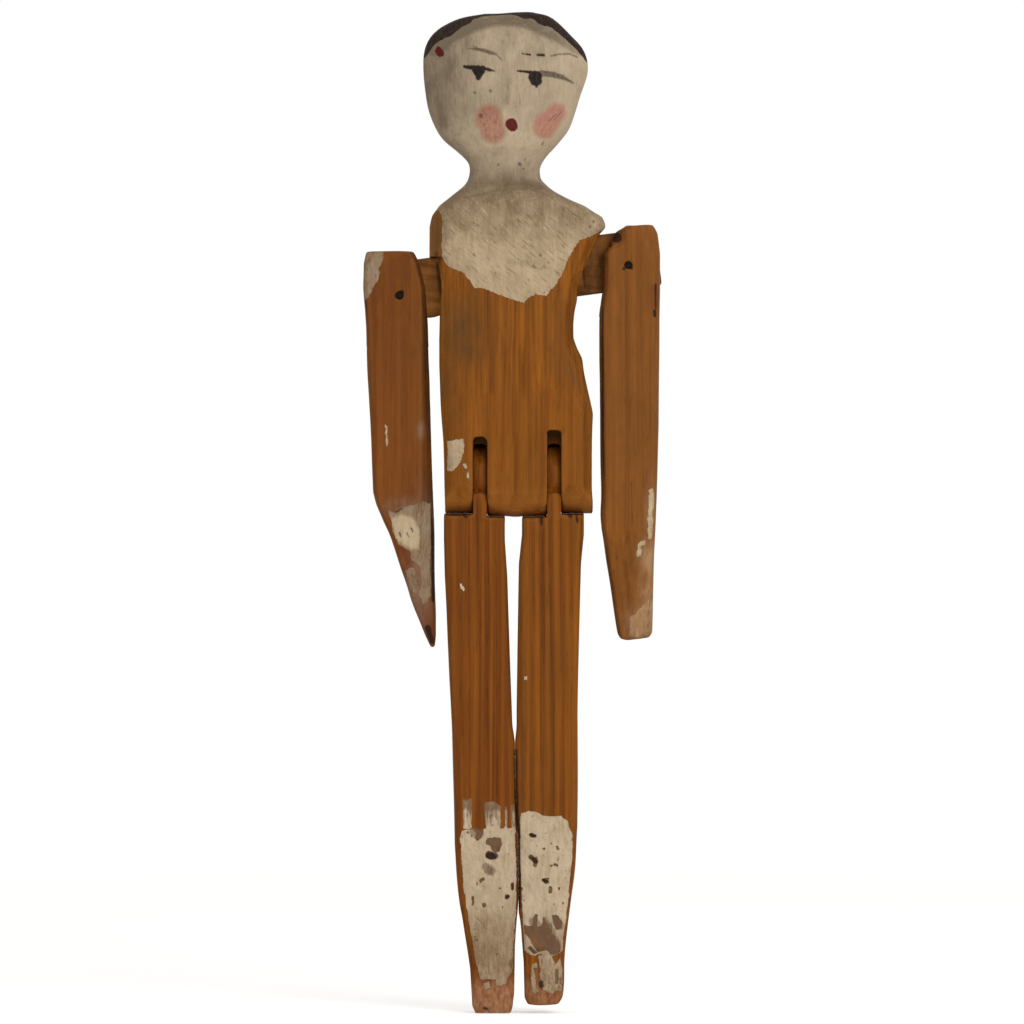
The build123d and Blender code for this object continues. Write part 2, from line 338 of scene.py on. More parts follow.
def scooped(points, scoops, side):
    # shallow dished cuts in the front or the back, each (x, y, half width, half height, depth, lean)
    across, down = toPicture(points)
    depth = np.zeros(len(points))
    for px, py, wide, tall, deep, lean in scoops:
        turn = math.radians(lean)
        u = (across - px) * math.cos(turn) + (down - py) * math.sin(turn)
        v = (down - py) * math.cos(turn) - (across - px) * math.sin(turn)
        depth = np.maximum(depth, deep * (1 - (u / wide) ** 2 - (v / tall) ** 2))
    height = points[:, 1] * side
    share = np.where(height > 0, height / np.abs(height).max(), 0)
    moved = points.copy()
    moved[:, 1] -= side * share * depth * 0.001
    return moved


def nudged(points, nudges):
    # the outline eased to the picture's: (x, y, reach across, reach down, mm across, mm up)
    across, down = toPicture(points)
    moved = points.copy()
    for px, py, wide, tall, over, up in nudges:
        share = dab(across, down, px, py, wide, tall)
        moved[:, 0] += share * over * 0.001
        moved[:, 2] += share * up * 0.001
    return moved


# the axis on which both legs turn, and what fits round it
hips = {
    "y": 0.00075,
    "z": 0.13425,
    # the narrow middle band, from front to back, that keeps crisp corners
    "bandHalf": 0.0014,
    "bandFrom": 0.1225,
    "bandTo": 0.1300,
    # the round bottoms: the middle block and the cheeks beside it
    "roundBelow": 0.1256,
    "blockFrom": -0.0096,
    "blockTo": 0.0124,
    "blockRadius": 0.01030,
    "cheekRadius": 0.00960,
    "blockBump": 0.00016,
    # the legs' tongues and shoulders
    "tongueFrom": 0.1246,
    "tongueReach": 0.0023,
    "tongueHalf": 0.00174,
    "shoulder": 0.1240,
    "hump": 0.00022,
    "outerTop": 0.12464,
    "innerTop": 0.12394,
    "outerCorner": 0.00014,
    "innerCorner": 0.00026,
}
# where pieces run against each other and stay plain
plain = {
    "legs": (0.122, 0.1236), "forkHalf": 0.0032, "barShare": 0.25, "slotsBelow": 0.1445,
    "slotsMiddle": 0.0014, "slotsReach": 0.0125, "undersideBelow": 0.1325,
}


def hipGuard(node, points):
    # 0 in the middle band of the hips, which keeps its crisp corners so that no light shows through
    band = np.abs(points[:, 1] - hips["y"]) < hips["bandHalf"]
    band &= (points[:, 2] > hips["bandFrom"]) & (points[:, 2] < hips["bandTo"])
    return np.where(band & (node == "torso" or node.startswith("leg")), 0.0, 1.0)


def whittle(node, facts=None, shaping=None, marking=None, fitting=None):
    marks = whittling[node]
    piece = fineCopy(node, node + "Carved", marks["grainSize"], marks.get("infill"), marks.get("finer"))
    points = readPoints(piece)
    normals = readPoints(piece, "normal")
    edges = readEdges(piece)
    if shaping:
        points = shaping(points, normals, facts)
    worn = settled(points, edges, marks["wearRounds"])
    patchy = 0.55 + 0.45 * softNoise(points, (0.005, 0.005, 0.009), marks["seed"] + 2)
    points = points + (worn - points) * (marks["wear"] * patchy * hipGuard(node, points))[:, None]
    if "calm" in marks:
        low, high, rounds = marks["calm"]
        share = step(points[:, 2], low - 0.001, low + 0.002)
        share *= 1 - step(points[:, 2], high - 0.002, high + 0.001)
        points = points + (settled(points, edges, rounds) - points) * share[:, None]
    points = nudged(points, marks.get("nudges", ()))
    writePoints(piece, points)
    normals = readPoints(piece, "normal")
    depth = marks["cutDepth"] * (knifeCuts(points, marks["cut"], marks["seed"]) - 0.8)
    depth += marks["waver"] * softNoise(points, marks["waverSize"], marks["seed"] + 1)
    points = points + normals * (depth * stillRoom(node, points, normals))[:, None]
    if fitting:
        points = fitting(points, normals, facts)
    writePoints(piece, points)
    broad = settled(points, edges, 16)
    bend = ((points - broad) * readPoints(piece, "normal")).sum(axis=1) / (marks["grainSize"] * 0.9)
    writeMark(piece, "edge", np.clip(bend, 0, 1))
    writeMark(piece, "hollow", np.clip(-bend, 0, 1))
    if marking:
        for name, values in marking(points, readPoints(piece, "normal"), facts).items():
            writeMark(piece, name, values)
    body, finish = ridesOn[node]
    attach(piece, body)
    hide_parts(node)
    print("carved", node, len(piece.data.vertices), "points")
    return piece


def stillRoom(node, points, normals):
    # where a piece runs against another, the knife's marks fade out
    if node.startswith("leg"):
        return 1 - step(points[:, 2], *plain["legs"])
    if node in ("arm_left", "arm_right"):
        inFork = (np.abs(points[:, 1]) < plain["forkHalf"]) & (points[:, 2] > whittling[node]["forkFoot"])
        return np.where(inFork, 0.0, 1.0)
    if node == "shoulder_bar":
        return np.full(len(points), plain["barShare"])
    if node == "torso":
        inSlots = (np.abs(normals[:, 0]) > 0.5) & (points[:, 2] < plain["slotsBelow"])
        inSlots &= np.abs(points[:, 0] - plain["slotsMiddle"]) < plain["slotsReach"]
        underneath = (points[:, 2] < plain["undersideBelow"]) & (normals[:, 2] < -0.2)
        return np.where(inSlots | underneath, 0.0, 1.0)
    return np.ones(len(points))


# how each piece is cut: knife cuts, waver of the blade, years of wear, small eases of the outline
armKnife = {
    "grainSize": 0.00034, "cutDepth": 0.0002, "waver": 0.00007, "waverSize": (0.0016, 0.0016, 0.02),
    "wear": 0.8, "wearRounds": 9,
}
legKnife = {
    "grainSize": 0.00036, "cut": (0.008, 0.008, 0.034), "cutDepth": 0.00016, "waver": 0.00006,
    "waverSize": (0.0013, 0.0013, 0.03), "wear": 0.8, "wearRounds": 8,
}
pegKnife = {
    "grainSize": 0.00013, "cutDepth": 0.00002, "waver": 0.00002, "wear": 0.5, "wearRounds": 4,
}
whittling = {
    "torso": {
        "grainSize": 0.00042, "cut": (0.007, 0.007, 0.017), "cutDepth": 0.00022, "waver": 0.00006,
        "waverSize": (0.003, 0.003, 0.012), "wear": 0.75, "wearRounds": 9, "seed": 3,
        "calm": (0.2025, 0.2125, 26),
        "nudges": [
            (452, 22, 20, 14, 0.25, -0.38), (532, 8, 26, 14, 0, 0.55), (576, 30, 18, 18, -0.35, -0.35),
            (590, 78, 16, 24, 0.6, 0), (556, 147, 14, 16, 0.55, -0.2), (448, 140, 12, 16, -0.3, -0.1),
            (464, 186, 8, 10, 0.35, -0.2), (541, 177, 8, 7, 0.5, 0), (567, 132, 9, 14, 0.4, 0),
            (602, 222, 8, 10, 0.6, 0), (582, 357, 6, 8, 0.5, 0), (578, 300, 6, 8, 0.4, 0),
            (438, 410, 8, 45, -0.35, 0), (592, 505, 6, 12, 0.35, 0), (592, 440, 5, 60, 0.15, 0),
        ],
        "finer": ((-0.021, -0.012, 0.2125), (0.019, -0.0035, 0.2445)),
        "infill": [
            ((-0.0101, 0.0083, 0.1352), (-0.0056, 0.0094, 0.1445)),
            ((0.0084, 0.0083, 0.1352), (0.0129, 0.0094, 0.1462)),
            ((-0.0101, -0.003, 0.14185), (-0.0056, 0.0094, 0.145)),
            ((0.0084, -0.003, 0.14185), (0.0129, 0.0094, 0.1466)),
        ],
    },
    "arm_left": {
        **armKnife, "cut": (0.006, 0.006, 0.022), "seed": 5, "forkFoot": 0.1662,
        "nudges": [
            (397, 250, 22, 8, 0, 0.45), (419, 252, 8, 8, 0.38, 0.12), (372, 252, 12, 8, 0, 0.2),
            (365, 325, 8, 30, 0.3, 0), (370, 430, 8, 60, 0.2, 0), (412, 608, 10, 22, -0.45, -0.15),
            (398, 575, 12, 18, -0.2, -0.1), (434, 642, 8, 8, 0.2, -0.6), (436, 615, 6, 22, 0.2, 0),
        ],
    },
    "arm_right": {
        **armKnife, "cut": (0.006, 0.006, 0.024), "seed": 7, "forkFoot": 0.1738,
        "nudges": [
            (610, 234, 10, 9, -0.3, 0.95), (632, 226, 10, 5, 0, -0.2), (601, 335, 7, 60, -0.45, 0),
            (601, 450, 7, 60, -0.2, 0), (601, 515, 6, 14, -0.3, 0), (628, 638, 13, 6, 0, -0.7),
        ],
    },
    "leg_left": {**legKnife, "seed": 11, "nudges": [(458, 880, 6, 30, -0.3, 0)]},
    "leg_right": {
        **legKnife, "seed": 13,
        "nudges": [
            (575, 790, 6, 80, 0.25, 0), (573, 865, 6, 26, 0.35, 0), (563, 990, 9, 24, 0.7, 0),
            (540, 1004, 24, 6, 0, -0.35),
        ],
    },
    "shoulder_bar": {
        "grainSize": 0.00036, "cut": (0.014, 0.005, 0.005), "cutDepth": 0.00012, "waver": 0.00005,
        "waverSize": (0.01, 0.0015, 0.0015), "wear": 0.5, "wearRounds": 5, "seed": 17,
        "nudges": [(433, 321, 8, 7, 0, -0.7)],
    },
}
ridesOn = {
    "torso": ("trunk", "torso_paint"),
    "shoulder_bar": ("bar", "bar_wood"),
    "arm_left": ("left_arm", "arm_wood"),
    "arm_right": ("right_arm", "arm_wood"),
    "leg_left": ("left_leg", "leg_wood"),
    "leg_right": ("right_leg", "leg_wood"),
}
# the arm pegs run front to back, the hip pegs from the flank inward
for pin, body, seed in (("arm_pin_left", "left_arm", 19), ("arm_pin_right", "right_arm", 23),
                        ("hip_pin_left", "trunk", 29), ("hip_pin_right", "trunk", 31)):
    ridesOn[pin] = (body, "peg_wood")
    cut, waver = ((0.001, 0.004, 0.001), (0.0006, 0.003, 0.0006))
    if pin.startswith("hip"):
        cut, waver = ((0.004, 0.001, 0.001), (0.003, 0.0006, 0.0006))
    whittling[pin] = {**pegKnife, "cut": cut, "waverSize": waver, "seed": seed}

# ---- the trunk and head
trunkMarks = {
    # where the white paint ends on the chest, and round the back
    "chestPaint": [
        (442, 258.6), (449, 267), (462, 272.6), (469, 279.6), (474, 288), (484, 288.7), (498, 294.4),
        (512, 299.3), (523.5, 303.5), (529, 298), (536, 294.4), (546, 296.5), (551, 290.8), (558.5, 281),
        (563.5, 271), (568.4, 258.6), (572.6, 251.6), (579.6, 240.3), (589.4, 237.5), (596.4, 233.3),
        (604.9, 229), (640, 222), (640, -20), (400, -20), (400, 203), (432, 207), (442, 214),
    ],
    "backPaint": [
        (400, 222), (430, 226), (447, 247), (466, 262), (483, 256), (498, 268), (515, 281), (531, 274),
        (549, 257), (567, 251), (581, 238), (600, 232), (640, 226), (640, -20), (400, -20),
    ],
    # the hairline over the brow, left to right
    "hairline": [
        (410, 66), (424.5, 58), (433, 46), (438, 42), (450.5, 36), (461, 27.6), (470.4, 23), (473.5, 19),
        (485.7, 15.3), (500, 13.6), (507, 13.4), (516, 15.3), (524, 18.4), (533, 19), (538.5, 23.7),
        (544, 26), (547, 25.3), (553, 29), (562, 36), (569, 42.3), (577, 49.6), (583, 57), (588, 66),
        (600, 78),
    ],
    "napeAt": 158.0, "blockMiddle": 515.5, "blockHalf": 6.0, "templeAt": 62.0,
    "hipPatch": [
        (447, 441), (452, 440.5), (458, 439), (463, 438), (465, 446), (463, 455), (460, 463), (455.5, 469),
        (451, 471.5), (447, 470.5),
    ],
    "hipStreaks": [
        [(462, 464), (465, 462), (468, 467), (466, 471), (463, 468)],
        [(466.5, 472), (470, 470.5), (472, 478), (470, 482), (467.5, 478)],
        [(470.5, 483), (473, 482), (473.5, 489), (471.5, 490)],
    ],
    # where corners of the middle block, the slots and the flanks are knocked: x, y, size, depth in mm
    "nicks": [
        (494, 513, 6, 0.5), (537, 513, 7, 0.6), (561, 431, 5, 0.4), (436, 254.7, 2.4, 0.8),
        (583, 357, 7, 0.5),
    ],
    # dirt on the front, and painted shade on the left shoulder facet: x, y, half width, half height,
    # strength
    "grimeAndShade": [
        (462, 330, 26, 34, 0.9), (470, 350, 20, 18, 0.7), (570, 325, 26, 44, 0.3), (560, 350, 24, 22, 0.25),
        (446, 380, 10, 34, 0.5), (436, 236, 7, 30, 0.85), (452, 420, 9, 20, 0.3), (590, 420, 8, 60, 0.35),
        (437, 290, 7, 40, 0.5), (466, 350, 20, 12, 0.85),
    ],
    # the knife's flats and scoops: x, y, half width, half height, depth in mm, lean in degrees
    "frontScoops": [
        (440, 322, 44, 78, 1.7, 3), (448, 372, 34, 38, 1.1, -12), (592, 330, 46, 74, 1.7, -4),
        (588, 376, 30, 36, 1.2, 16), (470, 409, 30, 26, 0.35, 0), (545, 405, 34, 22, 0.3, 4),
        (437, 236, 9, 34, 2.2, 0), (605, 262, 34, 34, 0.9, 38), (515, 345, 26, 60, 0.35, 0),
        (508, 168, 60, 21, 1.25, 0), (452, 196, 26, 12, 1.0, -32), (572, 197, 34, 12, 0.8, 24),
        (556, 215, 26, 13, 0.35, 24), (478, 246, 34, 22, 0.3, -20), (517, 470, 30, 40, 0.25, 0),
        (436, 96, 22, 44, 0.7, 6), (455, 140, 30, 16, 0.7, 34), (570, 143, 30, 16, 0.6, -38),
        (500, 12, 80, 24, 1.5, 0), (440, 32, 34, 22, 0.9, -42), (572, 30, 34, 22, 0.8, 38),
    ],
    "backScoops": [
        (450, 330, 40, 80, 1.3, 2), (582, 330, 44, 76, 1.4, -4), (512, 300, 30, 70, 0.4, 0),
        (470, 410, 40, 40, 0.4, 6), (548, 420, 40, 40, 0.45, -4), (508, 170, 62, 24, 1.2, 0),
        (455, 205, 34, 16, 0.9, -30), (570, 205, 36, 16, 0.9, 26), (508, 70, 50, 60, 0.6, 0),
        (450, 100, 26, 50, 0.8, 8), (565, 100, 26, 50, 0.8, -8), (505, 20, 70, 30, 1.3, 0),
        (508, 480, 30, 36, 0.3, 0),
    ],
    # the face: x, y, half width, half height, height in mm (less than 0 is a hollow)
    "faceRelief": [
        (513.5, 92, 8, 17, 0.42), (513.5, 104, 7, 5, 0.22), (478, 73, 15, 9, -0.22),
        (536, 79, 16, 10, -0.22), (512, 126, 9, 9, 0.16), (490, 125, 18, 20, 0.14),
        (551, 121, 19, 20, 0.14), (512, 150, 22, 14, 0.18), (512, 113, 12, 4, -0.1),
    ],
    "browFold": [
        (440, 56), (452, 44), (466, 37.5), (476, 32.5), (487, 30), (499.5, 28.3), (513.3, 28.3),
        (522.5, 30), (533, 34.4), (545, 39), (560, 46), (576, 58),
    ],
    "ledge": [
        (432, 213), (443, 210), (458, 202), (470, 196.5), (480, 195), (496, 190), (512, 188), (530, 188.5),
        (545, 191), (552, 197), (575, 202), (606, 214),
    ],
}


def overLine(points, line):
    # how far each point is above a line drawn on the picture, in millimetres
    across, down = toPicture(points)
    rows = np.interp(across, *zip(*line))
    return (rows - down) / picture["perMm"]


def shapeTrunk(points, normals, facts):
    points = scooped(points, facts["frontScoops"], -1)
    points = scooped(points, facts["backScoops"], 1)
    across, down = toPicture(points)
    front = step(-points[:, 1], 0.0015, 0.0050)
    for px, py, wide, tall, high in facts["faceRelief"]:
        points[:, 1] -= front * high * 0.001 * dab(across, down, px, py, wide, tall) ** 1.6
    fold = step(overLine(points, facts["browFold"]), -0.2, 2.2) * (points[:, 2] > 0.225)
    points[:, 1] += front * fold * 0.0007
    above = overLine(points, facts["ledge"])
    lip = step(above, -0.25, 0.35) * (1 - step(above, 1.5, 6.0)) * (points[:, 2] < 0.214)
    points[:, 1] += front * lip * 0.0007
    for px, py, size, deep in facts["nicks"]:
        points[:, 1] += front * deep * 0.001 * dab(across, down, px, py, size, size) ** 1.4
    return points


def fitTrunk(points, normals, facts):
    # the round bottoms of the hips, true to the hip pins so that the legs can turn under them
    low = points[:, 2] < hips["roundBelow"]
    middleBlock = (points[:, 0] > hips["blockFrom"]) & (points[:, 0] < hips["blockTo"])
    radius = np.hypot(points[:, 1] - hips["y"], points[:, 2] - hips["z"])
    target = np.where(middleBlock, hips["blockRadius"], hips["cheekRadius"])
    true = low & (np.abs(radius - target) < 0.00016) & (normals[:, 2] < -0.5)
    scale = np.where(true, target / radius, 1.0)
    points[:, 1] = hips["y"] + (points[:, 1] - hips["y"]) * scale
    points[:, 2] = hips["z"] + (points[:, 2] - hips["z"]) * scale
    across, down = toPicture(points)
    bump = np.exp(-((across - facts["blockMiddle"]) / facts["blockHalf"]) ** 4)
    points[:, 2] -= np.where(low, hips["blockBump"] * bump, 0)
    return points


# the painted face, with painted shade among the touches: touches of the brush, from x, y, to x, y, half
# width at the start, at the end
faceTouches = {
    "ink": [
        (464.5, 66.5, 474, 68, 1.4, 2.7), (474, 68, 484, 68.4, 2.7, 2.5), (484, 68.4, 494.5, 71, 2.0, 0.8),
        (478.6, 71.6, 478.4, 77.4, 6.4, 2.8), (518, 70.8, 526, 71.8, 0.9, 1.5),
        (535.3, 77.6, 535.8, 80.2, 7.0, 6.0), (535.9, 81, 536.8, 86.6, 4.4, 1.2),
        (526, 71.8, 534, 73, 1.6, 1.8), (522.5, 53.6, 530, 54.6, 0.7, 0.9),
        (538, 54.8, 543.6, 55.3, 1.2, 1.4),
    ],
    "faint": [
        (541, 73.0, 553, 74.6, 2.8, 3.0), (553, 74.6, 563, 77.6, 3.0, 2.4),
        (563, 77.6, 573.5, 83, 2.1, 0.8), (473.5, 46, 479, 49, 0.5, 0.9), (468, 48.4, 475, 48.8, 0.4, 0.9),
        (475, 48.8, 483, 50.2, 1.3, 1.8), (483, 50.2, 491, 52.8, 1.8, 1.9),
        (491, 52.8, 496, 54.2, 1.7, 1.0), (496, 54.2, 502.4, 60.6, 0.8, 0.6), (551, 56, 560, 54, 0.7, 0.7),
        (560, 54, 569, 53.8, 0.7, 0.8), (569, 53.8, 578.5, 57.6, 0.8, 0.5),
        (543.6, 141.5, 542, 145, 0.6, 0.6), (474.6, 92.6, 475, 92.8, 1.2, 1.0),
        (490.3, 90.6, 490.6, 91, 1.3, 1.2), (519.4, 163.8, 520, 164.4, 1.7, 1.5),
        (498, 164.6, 498.4, 165, 1.2, 1.0), (549, 121, 556, 114, 0.45, 0.35),
        (554, 120, 561, 112, 0.4, 0.3),
    ],
    # painted shade beside the nose, in the neck crease and down the left cheek
    "shade": [
        (508, 78, 507.4, 103, 0.6, 1.2), (519.4, 94, 520, 104, 0.6, 1.2),
        (470, 196.5, 496, 190.5, 0.8, 1.2), (496, 190.5, 530, 188.5, 1.2, 1.1),
        (530, 188.5, 552, 197, 1.1, 0.8), (440, 104, 446, 128, 1.6, 1.2),
    ],
    "lips": [
        (511.2, 123.8, 512.8, 126.4, 5.7, 5.1), (437.5, 49.3, 440.5, 53.3, 3.5, 3.6),
        (436, 47.8, 438, 48.8, 2.0, 2.0),
    ],
    "rouge": [(489, 118.5, 493, 131, 13.8, 12.6)], "pink": [(544.5, 127, 556.5, 112.5, 11.8, 9.2)],
    "smudge": [
        (440.5, 100, 442, 122, 5.0, 5.5), (452, 216, 464, 226, 7.0, 6.0), (558, 211, 574, 224, 6.0, 5.0),
        (434, 216, 434, 252, 5.0, 5.0), (508, 262, 536, 263, 2.0, 3.0), (566, 371, 580, 384, 2.2, 2.6),
        (500, 18, 530, 20, 3.0, 3.0), (484, 182, 542, 184, 4.0, 4.0),
    ],
    "stain": [
        (481, 115.4, 481.4, 116.6, 1.9, 1.7), (533, 266, 535, 267.4, 1.5, 1.3),
        (540, 254.6, 541.2, 255.6, 1.3, 1.2), (541, 268, 542, 270, 0.9, 0.9),
        (473.6, 254.4, 474.6, 255.6, 1.2, 1.1), (590, 226, 590.6, 227.6, 1.3, 1.2),
        (593, 221, 594, 222, 1.2, 1.2), (436, 253.5, 436, 256.5, 1.8, 2.0),
        (583, 357, 585, 359.5, 1.6, 1.2), (548, 262, 549, 263, 0.8, 0.8), (509, 236, 510, 237, 0.7, 0.7),
        (495, 272, 496, 273.4, 0.8, 0.8), (563, 246, 564, 247, 0.8, 0.7),
    ],
    "speck": [(566.5, 36, 567.5, 37.4, 2.2, 2.0), (552, 30.4, 552.6, 30.8, 0.7, 0.6)],
}


def markTrunk(points, normals, facts):
    across, down = toPicture(points)
    toBack = step(points[:, 1], -0.0015, 0.0035)
    chest = wrapped(insideBy(points, facts["chestPaint"]), insideBy(points, facts["backPaint"]), toBack)
    hip = np.maximum(
        insideBy(points, facts["hipPatch"]), insideAny(points, facts["hipStreaks"]) * 0.6 - 0.1,
    )
    hip = hip - 30 * step(points[:, 1], -0.004, 0.002)
    temple, nape = (fromPicture(0, facts[name])[1] for name in ("templeAt", "napeAt"))
    backLine = (points[:, 2] - (temple + (nape - temple) * step(points[:, 1], -0.0005, 0.0070))) * 1000
    sideways = step(points[:, 1], -0.0035, 0.0010)
    grime = np.zeros(len(points))
    for px, py, wide, tall, strong in facts["grimeAndShade"]:
        grime = np.maximum(grime, strong * dab(across, down, px, py, wide, tall))
    grime = np.where(points[:, 1] < 0, grime, 0.45 + 0.35 * softNoise(points, (0.012, 0.012, 0.02), 77))
    marks = {
        "paint": np.maximum(chest, hip),
        "hair": wrapped(overLine(points, facts["hairline"]), backLine, sideways),
        "grime": np.clip(grime, 0, 1),
        "fold": overLine(points, facts["browFold"]),
    }
    behind = 30 * (1 - step(-points[:, 1], 0.001, 0.004))
    for name, touches in faceTouches.items():
        marks[name] = brushed(points, touches) - behind
    return marks


# ---- the legs
legMarks = {
    "left": {
        "inward": 1, "soil": (0.016, 0.034, 0.82, 0.25), "hipSlot": -0.00785, "seamShadow": 1.3,
        "toeTones": ((132, 82, 54), (186, 134, 96)),
        "innerEdge": [
            (722, 513.8), (745, 514.9), (754, 515.0), (780, 515.4), (806, 516.2), (832, 517.7),
            (858, 518.0), (884, 518.6), (900, 518.4), (912, 517.6), (920, 516.7), (930, 516.0),
            (945, 515.0), (975, 514.6), (1004, 514.0),
        ],
        "socks": [
            [
                (461, 834), (462, 830.5), (476, 828), (480, 832), (486, 828), (512, 828), (515, 833),
                (516.5, 870), (516, 915), (514, 940), (512.5, 972), (505, 981), (492, 980), (480.5, 979),
                (476, 964), (470.6, 933), (463.5, 887), (460, 841),
            ],
            [(463, 799), (467, 801), (471, 798), (471.5, 815), (472, 829), (463, 829)],
            [(484, 803), (492, 801), (501, 806), (500.5, 829), (486, 829), (485, 815)],
            [(505, 806), (507, 807), (507.5, 829), (504.6, 829)],
            [(511, 806), (514.5, 804), (516, 834), (511.5, 829)],
            [(483, 983), (489, 981), (491, 988), (485, 990)],
            [(495, 979), (507, 978), (506, 984), (497, 987)],
        ],
        "backSock": [
            (440, 812), (455, 822), (470, 806), (482, 826), (497, 818), (511, 804), (530, 814), (530, 960),
            (512, 972), (498, 962), (486, 976), (470, 966), (440, 972),
        ],
        "bare": [
            [(471, 827), (480, 826), (484, 832), (481.5, 838), (477, 841), (474, 838), (476, 833)],
            [
                (485, 841), (488, 838.5), (494, 837.5), (501, 838), (502, 845), (499, 851), (496, 853),
                (492, 851.5), (490, 846), (485.5, 844),
            ],
            [(487, 853), (493, 852.5), (496.5, 857), (491, 860.5), (486, 857)],
            [(510, 883.5), (513, 882), (514.5, 889), (511.5, 891)],
            [(504, 894), (510, 895), (508, 899), (505, 899)],
            [(471.5, 897), (474, 896), (474.5, 904), (472, 905.5)],
            [(481, 903), (485, 902.5), (486.5, 906), (483, 908)],
            [(508, 853), (509.6, 853), (509.4, 855.4), (507.8, 855)],
            [(503, 860), (504.4, 861), (503.4, 862.6)], [(478.8, 880), (484, 877), (485, 880), (480, 883)],
            [(466, 831.5), (469, 831), (469, 833.5), (466.5, 833.5)], [(498, 887), (501, 888), (500, 890)],
            [(501.5, 906), (503.5, 906.5), (502.5, 909)],
        ],
        "thin": [
            ([(484, 866), (490, 863), (494.5, 867), (493.5, 875), (488, 878), (483.5, 873)], 0.9),
            ([(459, 794), (518, 794), (518, 828), (459, 828)], 0.72),
            ([(459, 790), (518, 790), (518, 812), (459, 812)], 1.05),
            ([(474, 962), (515, 958), (513, 990), (478, 990)], 0.5),
        ],
        # dark spots on the sock, and painted shadow along the hip joint under the trunk
        "dark": [
            (489, 855, 494, 856, 4.0, 3.8), (512.4, 885, 512.8, 889, 1.4, 1.4),
            (506.5, 897.4, 508.4, 896.6, 1.5, 1.4), (447, 515.2, 470, 515.6, 0.6, 0.5),
            (461, 513, 466, 517, 1.0, 1.6), (490, 510.5, 496, 516, 0.9, 1.0),
            (484, 1008, 487, 1009, 1.6, 1.4),
        ],
        "grey": [
            (487, 868, 491, 872, 4.6, 4.4), (492, 842, 498, 843, 4.0, 3.6), (473, 832, 480, 834, 4.0, 4.0),
        ],
        "specks": [[(459, 584), (462, 583), (465, 589), (463.5, 592), (460.5, 588)]], "nick": [],
    },
    "right": {
        "inward": -1, "soil": (0.008, 0.028, 0.78, 0.2), "hipSlot": 0.01065, "seamShadow": 2.3,
        "toeTones": ((116, 68, 44), (164, 112, 76)),
        "innerEdge": [
            (722, 516.2), (745, 514.97), (754, 515.07), (780, 515.47), (806, 516.27), (832, 517.77),
            (858, 518.07), (884, 518.67), (900, 518.47), (912, 518.6), (920, 520.1), (930, 521.2),
            (940, 521.8), (950, 522.8),
        ],
        "socks": [
            [
                (521, 813), (528, 811), (535, 812), (545.6, 816), (561, 816), (567, 821), (572.4, 833.6),
                (573, 846), (571.6, 866), (570, 878), (569, 896), (567, 915), (563.5, 935), (562.5, 951),
                (556, 955), (549, 958), (541, 954), (535, 956), (530, 955), (524.5, 950), (523, 925),
                (521.5, 889), (519.5, 850),
            ],
            [(532, 964), (537, 962), (538, 972), (536, 985), (539, 992), (533, 994), (531, 978)],
            [
                (537, 955), (552, 957), (556, 965), (560, 957), (562.5, 970), (562, 992), (556, 990),
                (552, 994), (545, 991), (539, 986), (540, 970),
            ],
        ],
        "backSock": [
            (510, 826), (526, 812), (540, 824), (556, 816), (570, 828), (590, 820), (590, 955), (566, 962),
            (552, 948), (538, 964), (524, 956), (510, 960),
        ],
        "bare": [
            [(528, 834), (532, 832.5), (537, 835), (535, 838.5), (530.5, 837)],
            [(555.6, 846), (558, 846), (560, 849.5), (557.5, 850)],
            [(542, 848), (545, 847.5), (544.5, 851.5)],
            [(531, 858), (537, 857), (538.5, 861), (536, 868), (533, 866), (532.5, 862)],
            [(554, 862), (557, 864), (558.5, 867), (554.5, 866)],
            [(549.5, 865), (552.5, 865), (552, 867.5), (550, 867)],
            [(542, 879), (549.5, 877.5), (549, 880), (546, 884), (543, 882)],
            [(548.5, 886), (553, 887), (552, 893.5), (548.5, 893)],
            [(557.5, 887), (560, 888), (559, 891.5)], [(521, 887), (523, 888), (522, 892)],
            [(553, 903), (555.5, 904), (554, 906)], [(531, 815), (533.5, 815.5), (532, 818)],
            [(535, 846), (537, 845), (537.5, 848)], [(562, 902), (564, 903), (563, 905)],
            [
                (524, 925), (532, 926.5), (535, 914), (537.5, 915), (537, 927), (542, 926), (543, 915),
                (548, 925), (556, 940), (560.5, 946), (560, 952), (553, 955), (546, 950), (538, 952),
                (533, 946), (529, 938), (524, 933),
            ],
            [(552, 915), (558, 916), (562.5, 923), (561, 929), (556, 930), (553, 922)],
            [(529, 946), (533, 948), (537, 953), (534, 954), (529, 949)],
            [(534, 968), (538, 968), (540, 978), (542, 986), (537, 986), (535, 978)],
            [(555, 970), (559, 968), (558, 984), (555, 985)],
        ],
        "thin": [
            ([(536, 958), (562, 958), (563, 994), (536, 994)], 0.45),
            ([(541, 913), (546, 912), (560, 940), (561, 948), (555, 946)], 0.8),
        ],
        # a crack, dark spots on the sock, and painted shadow along the hip joint under the trunk
        "dark": [
            (541.6, 508, 541.4, 524, 1.9, 0.7), (530, 512, 541, 509, 0.7, 0.9),
            (566.5, 513.5, 571, 516.5, 1.0, 1.6), (576.5, 515, 577.5, 522, 1.2, 1.4),
            (531, 857, 536, 862, 2.4, 2.2), (543, 880, 548, 882, 1.6, 1.8), (529, 948, 534, 953, 1.0, 0.8),
            (541, 983, 541.6, 986, 2.4, 2.6), (531, 835, 535, 836, 1.8, 1.8),
        ],
        "grey": [
            (534, 922, 554, 950, 4.4, 5.0), (546, 920, 558, 944, 3.0, 3.6), (555, 918, 560, 926, 3.6, 3.6),
        ],
        "specks": [[(524, 676.5), (527, 676), (527, 680), (524.5, 680)]],
        "nick": [(541.5, 517, 1.9, 10, 1.6), (570, 517, 4, 3, 0.5), (578, 519, 3, 5, 0.6)],
    },
}


# rows of the picture: where the painted shadow in the legs' seam fades in and out, the toes, and the hip
# pins
legRows = {"seamShadowIn": (738, 750), "seamShadowOut": (908, 922), "toes": (972, 990), "hipPin": 475}


